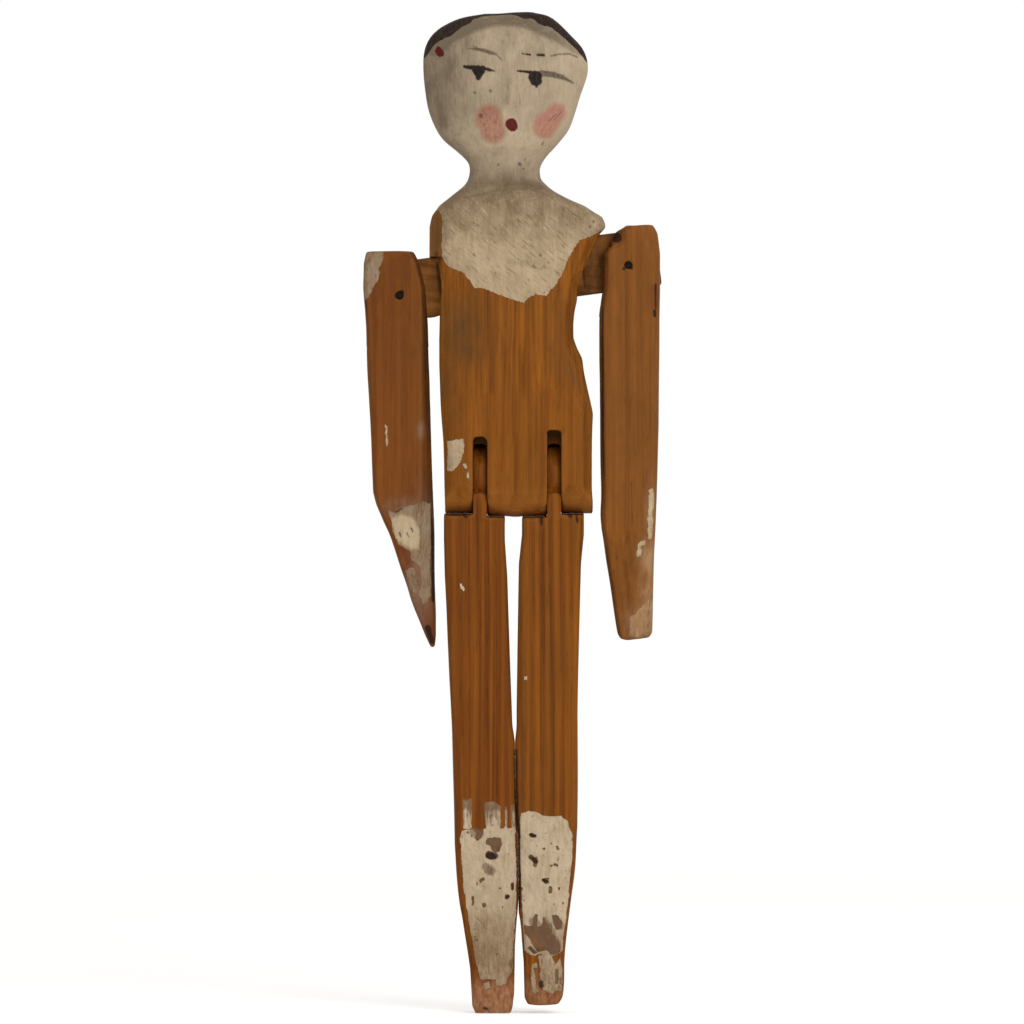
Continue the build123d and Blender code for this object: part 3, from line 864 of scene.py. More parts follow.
def shapeLeg(points, normals, facts):
    across, down = toPicture(points)
    # the hip tongue fills its slot, as near as it can still turn
    inSlot = (points[:, 2] > 0.1242) & (np.abs(points[:, 0] - facts["hipSlot"]) < 0.0019)
    inSlot &= np.abs(normals[:, 0]) > 0.75
    points[:, 0] += np.where(inSlot, np.sign(normals[:, 0]) * 0.00014, 0)
    shoulder = (np.abs(points[:, 2] - hips["shoulder"]) < 0.0006) & (normals[:, 2] > 0.6)
    hump = np.exp(-((points[:, 1] - hips["y"]) / 0.0016) ** 2) * hips["hump"]
    points[:, 2] += np.where(shoulder, hump, 0)
    front = step(-points[:, 1], 0.002, 0.005)
    for px, py, wide, tall, deep in facts["nick"]:
        points[:, 1] += front * deep * 0.001 * dab(across, down, px, py, wide, tall) ** 1.4
    return points


def fitLeg(points, normals, facts):
    # the last fit at the hip, and the flat sides that touch lower down
    slot = facts["hipSlot"]
    inward = facts["inward"]
    aside = points[:, 0] - slot
    outer = aside * inward < 0
    tongue = (points[:, 2] > hips["tongueFrom"]) & (np.abs(aside) < hips["tongueReach"])
    tongue &= np.abs(normals[:, 0]) > 0.6
    points[:, 0] = np.where(tongue, slot + np.sign(aside) * hips["tongueHalf"], points[:, 0])
    ridge = (np.abs(points[:, 1] - hips["y"]) < 0.0012) & (np.abs(points[:, 2] - hips["shoulder"]) < 0.0007)
    ridge &= (np.abs(aside) > 0.0017) & (normals[:, 2] > 0.3)
    corner = np.where(outer, hips["outerCorner"], hips["innerCorner"])
    top = np.where(outer, hips["outerTop"], hips["innerTop"])
    top += np.clip(corner - (np.abs(aside) - hips["tongueHalf"]) * 0.8, 0, corner)
    points[:, 2] = np.where(ridge, top, points[:, 2])
    # the inner sides meet, all but touching, from the knees to the ankles
    reachDown = np.hypot(points[:, 1] - hips["y"], points[:, 2] - hips["z"])
    spans = np.round(reachDown / 0.0005).astype(int)
    edge = np.full(spans.max() + 2, -1.0)
    np.maximum.at(edge, spans, points[:, 0] * inward)
    down = legRows["hipPin"] + reachDown * picture["perMetre"]
    rows, places = zip(*facts["innerEdge"])
    wanted = (np.interp(down, rows, places) - picture["middleX"]) / picture["perMetre"]
    reach = wanted * inward - edge[spans]
    share = step(down, rows[0], rows[0] + 20) * (1 - step(down, rows[-1] - 12, rows[-1]))
    behind = edge[spans] - points[:, 0] * inward
    pull = np.clip(1 - behind / 0.004, 0, 1)
    flat = (behind < 0.0003) & (share > 0.99)
    points[:, 0] = np.where(flat, wanted, points[:, 0] + inward * share * reach * pull * pull)
    return points


def markLeg(points, normals, facts):
    toBack = step(points[:, 1] + 0.0024 * softNoise(points, (0.003, 0.03, 0.004), 51), -0.0012, 0.0045)
    front = insideAny(points, facts["socks"])
    back = insideBy(points, facts["backSock"])
    specks = insideAny(points, facts["specks"]) - 30 * toBack
    thin = np.zeros(len(points))
    for outline, strong in facts["thin"]:
        thin = np.maximum(thin, strong * step(insideBy(points, outline), -0.6, 0.8) * (1 - toBack))
    # painted shadow: a dark band along the seam where the two legs meet
    across, down = toPicture(points)
    rows, places = zip(*facts["innerEdge"])
    seamShadow = (facts["seamShadow"] - np.abs(across - np.interp(down, rows, places))) / picture["perMm"]
    seamShadow -= 9 * (1 - step(down, *legRows["seamShadowIn"])) + 9 * step(down, *legRows["seamShadowOut"]) + 30 * toBack
    seamShadow -= 9 * step(np.abs(normals[:, 0]), 0.86, 0.97)
    return {
        "paint": np.maximum(wrapped(front, back, toBack), specks),
        "bare": insideAny(points, facts["bare"]) - 30 * toBack,
        "thin": thin,
        "toe": step(picture["soleY"] - points[:, 2] * picture["perMetre"], *legRows["toes"]),
        # dark spots, with painted shadow at the hip joints and in the seam between the legs
        "dark": np.maximum(brushed(points, facts["dark"]) - 30 * toBack, seamShadow),
        "grey": brushed(points, facts["grey"]) - 30 * toBack,
        "grime": np.clip(0.25 + 0.4 * softNoise(points, (0.006, 0.006, 0.03), 41), 0, 1),
    }


# ---- the arms
armMarks = {
    "left": {
        "paint": [
            [
                (388, 509), (396, 513), (405, 507), (423, 502), (431, 503), (431, 596), (424, 606),
                (419, 596), (421, 580), (419, 567), (412, 560), (409.7, 551), (398, 545), (394, 535),
                (390, 518),
            ],
            [(405, 571), (413, 567), (416, 573), (413, 582), (418, 592), (414, 595), (408, 584)],
            [
                (356, 245), (384, 245), (383.7, 252.8), (384, 258), (380.5, 267.4), (379.5, 275.7),
                (378.6, 280.8), (373.5, 287), (369, 296), (366.5, 301), (356, 303),
            ],
            [(384.5, 424), (388, 426), (388, 443.5), (386.3, 447), (385.6, 432)],
        ],
        "bright": [
            [
                (391, 519), (402, 514), (413, 518), (420, 530), (419, 549), (410, 549), (397, 541),
                (393, 530),
            ],
            [(384, 423), (389, 424), (388, 448), (385, 448)],
        ],
        "haze": [
            (404, 508, 18, 9, 0.5), (424, 560, 10, 46, 0.8), (414, 590, 12, 22, 0.6),
            (421, 430, 4, 8, 0.45), (418, 612, 10, 14, 0.35),
        ],
        "sideCut": (421.0, 434.0, 0.55), "bend": (300, 330),
        # tones: inner is painted shade on the faces turned toward the trunk, haze and clean are paint
        "tones": {"inner": (56, 33, 13), "haze": (152, 132, 114), "clean": (162, 142, 118)}, "innerSide": 1,
        # dark marks, and painted shade down the inner side and in the gap by the shoulder bar
        "dark": [
            (397.4, 295.4, 401.6, 292.6, 3.2, 3.0), (433.5, 512, 434, 600, 2.6, 2.6),
            (399.5, 533, 401, 537, 0.9, 0.6), (407, 533, 409, 537, 0.8, 0.6),
            (411, 528, 413, 532, 0.9, 0.6), (366, 300, 370, 400, 0.8, 0.5), (428, 628, 432, 642, 3.0, 2.0),
            (396, 512, 402, 509, 0.8, 0.6), (423, 268, 426, 330, 1.6, 2.4),
        ],
        "rust": [(416, 608, 430, 638, 9.0, 4.0), (401, 550, 409, 563, 5.0, 4.0)],
        "backPaint": [[(395, 505), (440, 500), (440, 600), (420, 590), (408, 560)]],
        "scoops": [
            (372, 270, 14, 40, 0.8, 0), (404, 262, 40, 20, 0.3, -10), (405, 400, 40, 90, 0.25, 2),
            (392, 540, 18, 60, 0.9, 20), (424, 560, 14, 70, 0.5, 0), (410, 600, 20, 40, 0.8, 10),
        ],
    },
    "right": {
        "paint": [
            [
                (648, 489), (652.6, 488.4), (654.4, 496.4), (653.4, 516), (652.6, 539), (647.5, 539.5),
                (647.8, 516), (648.5, 504),
            ],
            [
                (636.6, 545), (640.6, 541), (645, 540), (645.7, 544.7), (641.5, 547), (641, 557),
                (637, 556.8),
            ],
            [
                (629, 618), (636, 612.5), (644, 604), (652, 596.4), (656, 600), (656, 632), (647.5, 637),
                (634, 640), (628.5, 636),
            ],
        ],
        "bright": [
            [(647, 487), (655, 487), (654, 541), (647, 541)],
            [(636, 540), (646, 539), (646, 547), (641, 558), (636, 558)],
        ],
        "haze": [
            (649, 560, 9, 22, 0.75), (648, 592, 9, 22, 0.6), (643, 622, 14, 16, 0.85),
            (650, 515, 5, 30, 0.4),
        ],
        "sideCut": (653.0, 661.0, 0.35), "bend": (330, 350),
        # tones: inner is painted shade on the faces turned toward the trunk, haze and clean are paint
        "tones": {"inner": (92, 52, 22), "haze": (186, 148, 110), "clean": (188, 148, 108)},
        "innerSide": -1,
        # dark marks, and painted shade in the chipped top corner and along the inner edge
        "dark": [
            (608, 233, 617, 238, 4.6, 4.8), (606, 234, 610, 245, 3.4, 2.0),
            (656, 285, 656.4, 308, 1.5, 1.4), (655, 311, 655, 315.4, 2.0, 2.0),
            (631.4, 482, 632, 526, 0.55, 0.4), (623.8, 269, 625.6, 266, 1.7, 1.8),
            (626.6, 264.6, 631, 267.6, 1.9, 2.0), (602.4, 300, 603, 480, 1.0, 1.2),
        ],
        "rust": [(654, 288, 656, 306, 3.0, 3.0), (628, 622, 636, 634, 4.0, 3.0)],
        "backPaint": [[(628, 590), (656, 560), (660, 640), (625, 640)]],
        "scoops": [
            (612, 236, 14, 14, 1.5, 12), (600, 400, 12, 160, 0.5, 0), (656, 240, 10, 30, 0.9, -20),
            (620, 330, 26, 60, 0.25, 0), (645, 420, 22, 90, 0.25, 0), (612, 590, 18, 60, 0.7, -8),
            (640, 620, 30, 30, 0.35, 10),
        ],
    },
}


def shapeArm(points, normals, facts):
    points = scooped(points, facts["scoops"], -1)
    shallower = [(*scoop[:4], scoop[4] * 0.6, scoop[5]) for scoop in facts["scoops"][2:]]
    points = scooped(points, shallower, 1)
    across, down = toPicture(points)
    inner, outer, deep = facts["sideCut"]
    lean = np.clip((across - inner) / (outer - inner), 0, 1)
    share = deep * lean * (0.35 + 0.65 * step(down, *facts["bend"]))
    beyond = 1 - 0.0024 / np.maximum(np.abs(points[:, 1]), 0.0024)
    points[:, 1] *= np.where(points[:, 1] < -0.0024, 1 - share * beyond, 1)
    return points


def markArm(points, normals, facts):
    across, down = toPicture(points)
    toBack = step(points[:, 1], -0.001, 0.003)
    haze = np.zeros(len(points))
    for px, py, wide, tall, strong in facts["haze"]:
        haze = np.maximum(haze, strong * dab(across, down, px, py, wide, tall))
    # painted shade: faces turned toward the trunk are marked for a dark tone
    inner = step(normals[:, 0] * facts["innerSide"], 0.25, 0.75)
    sideOn = step(np.abs(normals[:, 0]), 0.72, 0.92)
    return {
        "inner": inner * (0.75 + 0.25 * softNoise(points, (0.01, 0.01, 0.02), 47)),
        "dark": brushed(points, facts["dark"]) - 30 * toBack - 9 * sideOn,
        "rust": brushed(points, facts["rust"]) - 6 * toBack,
        "paint": wrapped(insideAny(points, facts["paint"]), insideAny(points, facts["backPaint"]), toBack),
        "bright": step(insideAny(points, facts["bright"]), -0.5, 0.6) * (1 - toBack),
        "haze": haze * (1 - 0.5 * toBack),
        "grime": np.clip(0.3 + 0.4 * softNoise(points, (0.006, 0.006, 0.03), 43), 0, 1),
    }


# ---- the shoulder bar
barMarks = {
    "endFrom": 0.0352, "endLonger": 0.0007, "tonguesFrom": 0.0205, "tonguesThinner": 0.09,
    "tongueHalf": (0.0024, 0.0034), "paintedArmShadowFrom": (0.014, 0.018), "paintedArmShadow": 1.7,
}


def shapeBar(points, normals, facts):
    # the tongue's end stands a little out of the right arm
    points[:, 0] += np.where(points[:, 0] > facts["endFrom"], facts["endLonger"], 0)
    # the tongues run a little thinner than the forks they turn in
    thinner = facts["tonguesThinner"] * (1 - step(np.abs(points[:, 1]), *facts["tongueHalf"]))
    points[:, 1] *= 1 - np.where(np.abs(points[:, 0]) > facts["tonguesFrom"], thinner, 0)
    return points


# painted shadow of the right arm over the bar's right end, fed to the finish as grime
def markBar(points, normals, facts):
    return {"paintedArmShadow": step(points[:, 0], *facts["paintedArmShadowFrom"]) * facts["paintedArmShadow"]}


pieces = {
    "torso": whittle("torso", trunkMarks, shapeTrunk, markTrunk, fitTrunk),
    "shoulder_bar": whittle("shoulder_bar", barMarks, shapeBar, markBar),
}
for side in ("left", "right"):
    pieces["arm_" + side] = whittle("arm_" + side, armMarks[side], shapeArm, markArm)
for side in ("left", "right"):
    pieces["leg_" + side] = whittle("leg_" + side, legMarks[side], shapeLeg, markLeg, fitLeg)
for pin in ("arm_pin_left", "arm_pin_right", "hip_pin_left", "hip_pin_right"):
    pieces[pin] = whittle(pin)


# ---- finishes: shared effects first, each one a node group
def swatch(red, green, blue):
    # a colour as seen on a screen, 0 to 255, turned into light
    light = [((c / 255 + 0.055) / 1.055) ** 2.4 if c > 10 else c / 255 / 12.92 for c in (red, green, blue)]
    return (*light, 1.0)


class Wiring:
    # short ways to lay and link nodes in one tree
    def __init__(self, tree, here=None):
        self.tree = tree
        self.here = here

    def feed(self, socket, value):
        if isinstance(value, bpy.types.NodeSocket):
            self.tree.links.new(value, socket)
        elif value is not None:
            socket.default_value = value

    def lay(self, kind, values=(), **settings):
        node = self.tree.nodes.new("ShaderNode" + kind)
        for name, setting in settings.items():
            setattr(node, name, setting)
        for slot, value in values:
            self.feed(node.inputs[slot], value)
        return node

    def sums(self, kind, *values, clamp=False):
        return self.lay("Math", enumerate(values), operation=kind, use_clamp=clamp).outputs[0]

    def fused(self, value, times, plus, clamp=False):
        return self.sums("MULTIPLY_ADD", value, times, plus, clamp=clamp)

    def times(self, first, second):
        return self.sums("MULTIPLY", first, second)

    def plus(self, first, second):
        return self.sums("ADD", first, second)

    def minus(self, first, second):
        return self.sums("SUBTRACT", first, second)

    def most(self, first, second):
        return self.sums("MAXIMUM", first, second)

    def mid(self, value):
        # noise from 0 to 1, brought to -0.5 to 0.5
        return self.minus(value, 0.5)

    def arrows(self, kind, *values):
        node = self.lay("VectorMath", enumerate(values), operation=kind)
        return node.outputs["Value" if kind == "LENGTH" else "Vector"]

    def blend(self, share, first, second, kind="MIX"):
        colours = ((0, share), (6, first), (7, second))
        return self.lay("Mix", colours, data_type="RGBA", blend_type=kind).outputs[2]

    def between(self, share, first, second):
        return self.lay("Mix", ((0, share), (2, first), (3, second))).outputs[0]

    def ramp(self, value, low, high, toLow=0.0, toHigh=1.0):
        ends = enumerate((value, low, high, toLow, toHigh))
        return self.lay("MapRange", ends, interpolation_type="SMOOTHSTEP").outputs[0]

    def cloud(self, place, stretch, detail=3.0, rough=0.55, warp=0.0):
        # noise from 0 to 1; stretch is how many lumps a metre holds along each axis
        noise = self.lay(
            "TexNoise", (("Scale", 1.0), ("Detail", detail), ("Roughness", rough), ("Distortion", warp)),
        )
        self.feed(noise.inputs["Vector"], self.arrows("MULTIPLY", place, stretch))
        return noise.outputs["Fac"]

    def mark(self, name):
        return self.lay("Attribute", attribute_type="GEOMETRY", attribute_name=name).outputs["Fac"]

    def use(self, group, **values):
        node = self.lay("Group", node_tree=group)
        if "Place" in node.inputs:
            values.setdefault("Place", self.here)
        for label, value in values.items():
            self.feed(node.inputs[label], value)
        return node.outputs

    def touched(self, under, name, tint, waver, ragged, soft, strong):
        return self.use(brushTouch, Color=under, Tint=tint, Inside=self.mark(name), Waver=waver,
                        Ragged=ragged, Soft=soft, Strong=strong)["Color"]

    def handle(self, **values):
        return self.use(handling, Hollow=self.mark("hollow"), Edge=self.mark("edge"), **values)

    def relief(self, shader, height, depth):
        bump = self.lay("Bump", (("Strength", 1.0), ("Distance", depth), ("Height", height)))
        self.feed(shader.inputs["Normal"], bump.outputs["Normal"])


def newGroup(name, takes, gives):
    group = bpy.data.node_groups.new(name, "ShaderNodeTree")
    for label, kind, value in takes:
        socket = group.interface.new_socket(name=label, in_out="INPUT", socket_type="NodeSocket" + kind)
        if value is not None:
            socket.default_value = value
    for label, kind in gives:
        group.interface.new_socket(name=label, in_out="OUTPUT", socket_type="NodeSocket" + kind)
    tree = Wiring(group)
    return tree, group.nodes.new("NodeGroupInput").outputs, group.nodes.new("NodeGroupOutput").inputs


def buildSoftwoodGrain():
    tree, took, gave = newGroup(
        "softwoodGrain",
        [
            ("Place", "Vector", None), ("Pale", "Color", swatch(150, 92, 40)),
            ("Dark", "Color", swatch(96, 48, 18)), ("Heart", "Vector", (0.06, 0.01, 0.0)),
            ("Rings", "Float", 420.0), ("Waver", "Float", 0.0012), ("RingDepth", "Float", 0.6),
            ("StreakDepth", "Float", 1.5), ("FibreDepth", "Float", 0.5), ("Mottle", "Float", 0.3),
        ],
        [("Color", "Color"), ("Height", "Float")],
    )
    spot = took["Place"]
    flat = tree.arrows("MULTIPLY", tree.arrows("SUBTRACT", spot, took["Heart"]), (1.0, 1.0, 0.0))
    wander = tree.mid(tree.cloud(spot, (90, 90, 11), 2.0))
    ripple = tree.mid(tree.cloud(spot, (460, 460, 9), 2.0))
    wander = tree.fused(ripple, 0.9, wander)
    far = tree.fused(wander, took["Waver"], tree.arrows("LENGTH", flat))
    turn = tree.times(far, took["Rings"])
    part = tree.sums("FRACT", turn)
    luck = tree.lay("TexWhiteNoise", noise_dimensions="1D")
    tree.feed(luck.inputs["W"], tree.sums("FLOOR", turn))
    late = tree.times(tree.ramp(part, 0.15, 0.80), tree.ramp(part, 0.82, 1.0, 1.0, 0.0))
    late = tree.times(late, tree.fused(luck.outputs["Value"], 0.9, 0.2))
    streak = tree.cloud(spot, (780, 780, 8), 3.0, 0.6)
    fibre = tree.cloud(spot, (1700, 1700, 26), 4.0, 0.65)
    fine = tree.cloud(spot, (4200, 4200, 120), 2.0, 0.6)
    fleck = tree.ramp(tree.cloud(spot, (2600, 2600, 190), 1.0), 0.66, 0.74)
    blot = tree.cloud(spot, (150, 150, 45), 3.0, 0.6)
    share = tree.fused(late, took["RingDepth"], 0.30)
    for noise, depth in ((streak, took["StreakDepth"]), (fibre, took["FibreDepth"]), (fine, 0.35)):
        share = tree.fused(tree.mid(noise), depth, share)
    share = tree.fused(fleck, 0.15, share, clamp=True)
    tone = tree.blend(share, took["Pale"], took["Dark"])
    light = tree.fused(tree.mid(blot), took["Mottle"], 1.0)
    shade = tree.lay("CombineColor", enumerate((light, light, light)))
    tree.feed(gave["Color"], tree.blend(1.0, tone, shade.outputs[0], "MULTIPLY"))
    height = tree.fused(late, -0.4, tree.times(fibre, 0.6))
    height = tree.fused(streak, -0.5, height)
    height = tree.fused(fine, 0.22, height)
    tree.feed(gave["Height"], tree.fused(fleck, -0.3, height))
    return tree.tree


def buildOldPaint():
    # brushed paint: ragged edge, scratches, chips down to a brown ground, grain showing where it is thin
    tree, took, gave = newGroup(
        "oldPaint",
        [
            ("Place", "Vector", None), ("Under", "Color", None), ("UnderHeight", "Float", 0.0),
            ("Clean", "Color", swatch(214, 196, 168)), ("Dirty", "Color", swatch(160, 140, 112)),
            ("Soil", "Float", 0.5), ("Edge", "Float", 0.0), ("Bare", "Float", -9.0), ("Thin", "Float", 0.0),
            ("Wear", "Float", 0.0), ("Ragged", "Float", 0.5), ("Chips", "Float", 0.35),
            ("Brush", "Vector", (900, 900, 110)), ("Cloudy", "Float", 0.9),
            ("Ground", "Color", swatch(112, 84, 62)), ("GroundShare", "Float", 0.6),
            ("Scratch", "Float", 0.4), ("Lean", "Float", 0.8), ("Brushing", "Float", 0.9),
        ],
        [("Color", "Color"), ("Height", "Float"), ("Mask", "Float")],
    )
    spot = took["Place"]
    coarse = tree.mid(tree.cloud(spot, (700, 700, 520), 3.0, 0.6))
    strand = tree.mid(tree.cloud(spot, (2200, 2200, 260), 3.0, 0.65))
    edge = tree.fused(tree.plus(coarse, strand), took["Ragged"], took["Edge"])
    inPaint = tree.ramp(edge, -0.06, 0.07)
    hole = tree.fused(strand, 0.6, took["Bare"])
    hole = tree.fused(coarse, 0.6, hole)
    cover = tree.times(inPaint, tree.ramp(hole, -0.06, 0.09, 1.0, 0.0))
    peck = tree.cloud(spot, (1250, 1250, 900), 2.0, 0.5)
    where = tree.cloud(spot, (170, 170, 120), 2.0, 0.5)
    flaw = tree.fused(where, 0.35, peck)
    limit = tree.fused(took["Chips"], -0.25, 1.02)
    chip = tree.ramp(tree.minus(flaw, limit), -0.012, 0.012)
    cover = tree.times(cover, tree.minus(1.0, chip))
    worn = tree.plus(tree.times(strand, 1.3), tree.times(coarse, 0.8))
    worn = tree.plus(worn, tree.fused(took["Wear"], 1.0, tree.times(took["Thin"], 0.75)))
    cover = tree.times(cover, tree.ramp(worn, 0.40, 0.90, 1.0, 0.12))
    slant = tree.lay("VectorRotate", (("Vector", spot), ("Angle", took["Lean"])), rotation_type="Y_AXIS")
    graze = tree.cloud(slant.outputs["Vector"], (2800, 2800, 330), 3.0, 0.65)
    scrape = tree.ramp(graze, 0.57, 0.70)
    lifted = tree.ramp(graze, 0.30, 0.42, 1.0, 0.0)
    brush = tree.cloud(spot, took["Brush"], 3.0, 0.6)
    smear = tree.cloud(spot, (230, 230, 170), 4.0, 0.62, 0.4)
    speck = tree.ramp(tree.cloud(spot, (2600, 2600, 2200), 1.0), 0.70, 0.76)
    soil = tree.fused(tree.mid(smear), took["Cloudy"], took["Soil"])
    soil = tree.fused(tree.mid(brush), took["Brushing"], soil)
    soil = tree.fused(tree.times(scrape, took["Scratch"]), 0.7, soil)
    soil = tree.fused(tree.times(lifted, took["Scratch"]), -0.5, soil, clamp=True)
    tone = tree.blend(soil, took["Clean"], took["Dirty"])
    tone = tree.blend(tree.times(speck, 0.40), tone, swatch(84, 64, 46))
    scraped = tree.blend(tree.ramp(graze, 0.40, 0.68, 0.0, 0.55), took["Ground"], took["Dirty"])
    scraped = tree.blend(tree.ramp(coarse, -0.02, 0.16, 0.0, 0.4), scraped, swatch(78, 52, 34))
    below = tree.blend(tree.times(inPaint, took["GroundShare"]), took["Under"], scraped)
    tree.feed(gave["Color"], tree.blend(cover, below, tone))
    body = tree.fused(brush, 0.35, tree.fused(smear, 0.3, 0.9))
    body = tree.fused(tree.times(scrape, took["Scratch"]), -0.3, body)
    low = tree.times(took["UnderHeight"], tree.fused(cover, -0.55, 1.0))
    tree.feed(gave["Height"], tree.fused(cover, body, low))
    tree.feed(gave["Mask"], cover)
    return tree.tree


def buildTouch():
    # one tint laid inside touches of the brush, with a ragged or a soft rim
    tree, took, gave = newGroup(
        "brushTouch",
        [
            ("Color", "Color", None), ("Tint", "Color", swatch(60, 36, 20)), ("Inside", "Float", -9.0),
            ("Waver", "Float", 0.0), ("Ragged", "Float", 0.5), ("Soft", "Float", 0.2),
            ("Strong", "Float", 0.8),
        ],
        [("Color", "Color")],
    )
    edge = tree.fused(took["Waver"], took["Ragged"], took["Inside"])
    mask = tree.ramp(edge, tree.times(took["Soft"], -1.0), took["Soft"], 0.0, took["Strong"])
    tree.feed(gave["Color"], tree.blend(mask, took["Color"], took["Tint"]))
    return tree.tree


def buildHandling():
    # dirt left in hollows and by hands, and edges rubbed by years of play; the Grime input also carries
    # painted shade where a finish feeds it in
    tree, took, gave = newGroup(
        "handling",
        [
            ("Place", "Vector", None), ("Color", "Color", None), ("Dirt", "Color", swatch(70, 48, 30)),
            ("Rubbed", "Color", swatch(150, 100, 55)), ("Grime", "Float", 0.0), ("Hollow", "Float", 0.0),
            ("Edge", "Float", 0.0), ("Strength", "Float", 1.0), ("Sheen", "Float", 0.6),
        ],
        [("Color", "Color"), ("Roughness", "Float")],
    )
    spot = took["Place"]
    drift = tree.cloud(spot, (300, 300, 160), 4.0, 0.65)
    smudge = tree.times(took["Grime"], tree.ramp(drift, 0.25, 0.75, 0.45, 1.0))
    deep = tree.times(tree.ramp(took["Hollow"], 0.05, 0.7), 0.85)
    dirt = tree.most(tree.times(smudge, took["Strength"]), deep)
    rub = tree.times(tree.ramp(took["Edge"], 0.25, 0.9), tree.ramp(drift, 0.35, 0.7, 0.1, 0.6))
    tone = tree.blend(rub, took["Color"], took["Rubbed"])
    tree.feed(gave["Color"], tree.blend(dirt, tone, took["Dirt"]))
    rough = tree.fused(tree.mid(drift), 0.25, took["Sheen"])
    rough = tree.fused(rub, -0.12, rough)
    tree.feed(gave["Roughness"], tree.fused(dirt, 0.12, rough, clamp=True))
    return tree.tree


softwoodGrain = buildSoftwoodGrain()
oldPaint = buildOldPaint()
handling = buildHandling()
brushTouch = buildTouch()


def newFinish(name, matt=0.12):
    finish = bpy.data.materials.new(name)
    finish.use_nodes = True
    nodes = finish.node_tree.nodes
    shader = nodes["Principled BSDF"]
    shader.inputs["Specular IOR Level"].default_value = matt
    here = nodes.new("ShaderNodeTexCoord").outputs["Object"]
    return finish, Wiring(finish.node_tree, here), shader, here


woods = {
    "trunk": {
        "Pale": swatch(151, 89, 22), "Dark": swatch(92, 46, 7), "Heart": (0.052, 0.004, 0.0),
        "Rings": 300.0, "Waver": 0.0022, "RingDepth": 0.3, "FibreDepth": 0.9, "Mottle": 0.5,
    },
    "arm_left": {
        "Pale": swatch(137, 78, 24), "Dark": swatch(92, 46, 11), "Heart": (-0.09, -0.03, 0.0),
        "Rings": 260.0, "Waver": 0.0026, "RingDepth": 0.18, "StreakDepth": 0.9, "FibreDepth": 0.6,
        "Mottle": 0.5,
    },
    "arm_right": {
        "Pale": swatch(150, 92, 34), "Dark": swatch(100, 54, 16), "Heart": (0.11, -0.02, 0.0),
        "Rings": 240.0, "Waver": 0.0026, "RingDepth": 0.2, "StreakDepth": 1.0, "FibreDepth": 0.7,
        "Mottle": 0.5,
    },
    "leg_left": {
        "Pale": swatch(140, 77, 11), "Dark": swatch(86, 40, 5), "Heart": (-0.075, 0.012, 0.0),
        "Rings": 430.0, "Waver": 0.0018, "RingDepth": 0.45, "StreakDepth": 1.4, "FibreDepth": 1.4,
        "Mottle": 0.5,
    },
    "leg_right": {
        "Pale": swatch(148, 85, 16), "Dark": swatch(90, 45, 7), "Heart": (0.085, 0.01, 0.0), "Rings": 400.0,
        "Waver": 0.0018, "RingDepth": 0.45, "StreakDepth": 1.4, "FibreDepth": 1.4, "Mottle": 0.5,
    },
    "bar": {
        "Pale": swatch(176, 116, 54), "Dark": swatch(120, 68, 25), "Heart": (0.02, 0.03, 0.0),
        "Rings": 380.0, "Waver": 0.0014, "RingDepth": 0.25, "StreakDepth": 0.8, "FibreDepth": 0.7,
        "Mottle": 0.6,
    },
    "peg": {
        "Pale": swatch(26, 12, 6), "Dark": swatch(12, 6, 4), "Heart": (0.01, 0.01, 0.0), "Rings": 900.0,
        "Waver": 0.0006, "RingDepth": 0.6, "StreakDepth": 0.6, "FibreDepth": 0.8, "Mottle": 0.5,
    },
}


# the order is the order of painting
faceColours = {
    "smudge": {"colour": swatch(98, 80, 56), "strong": 0.42, "patchy": 0.4, "soft": 1.2, "ragged": 1.6},
    "shade": {"colour": swatch(110, 90, 68), "strong": 0.62, "patchy": 0.45, "soft": 0.45, "ragged": 1.0},
    "rouge": {"colour": swatch(154, 80, 62), "strong": 0.84, "patchy": 0.45, "soft": 0.85, "ragged": 2.4},
    "pink": {"colour": swatch(176, 106, 92), "strong": 0.9, "patchy": 0.35, "soft": 0.75, "ragged": 2.0},
    "stain": {"colour": swatch(84, 60, 38), "strong": 0.8, "patchy": 0.25, "soft": 0.2, "ragged": 0.4},
    "faint": {"colour": swatch(58, 48, 41), "strong": 0.92, "patchy": 0.3, "soft": 0.24, "ragged": 0.7},
    "ink": {"colour": swatch(20, 14, 14), "strong": 1.0, "patchy": 0.05, "soft": 0.2, "ragged": 0.8},
    "lips": {"colour": swatch(86, 13, 4), "strong": 1.0, "patchy": 0.04, "soft": 0.15, "ragged": 1.0},
}
trunkPaint = {
    "hair": swatch(34, 22, 16), "hairWorn": swatch(62, 48, 38), "clean": swatch(194, 171, 138),
    "dirty": swatch(128, 106, 80), "faceClean": swatch(190, 170, 142), "faceDirty": swatch(122, 107, 88),
    "grime": swatch(88, 62, 32),
}


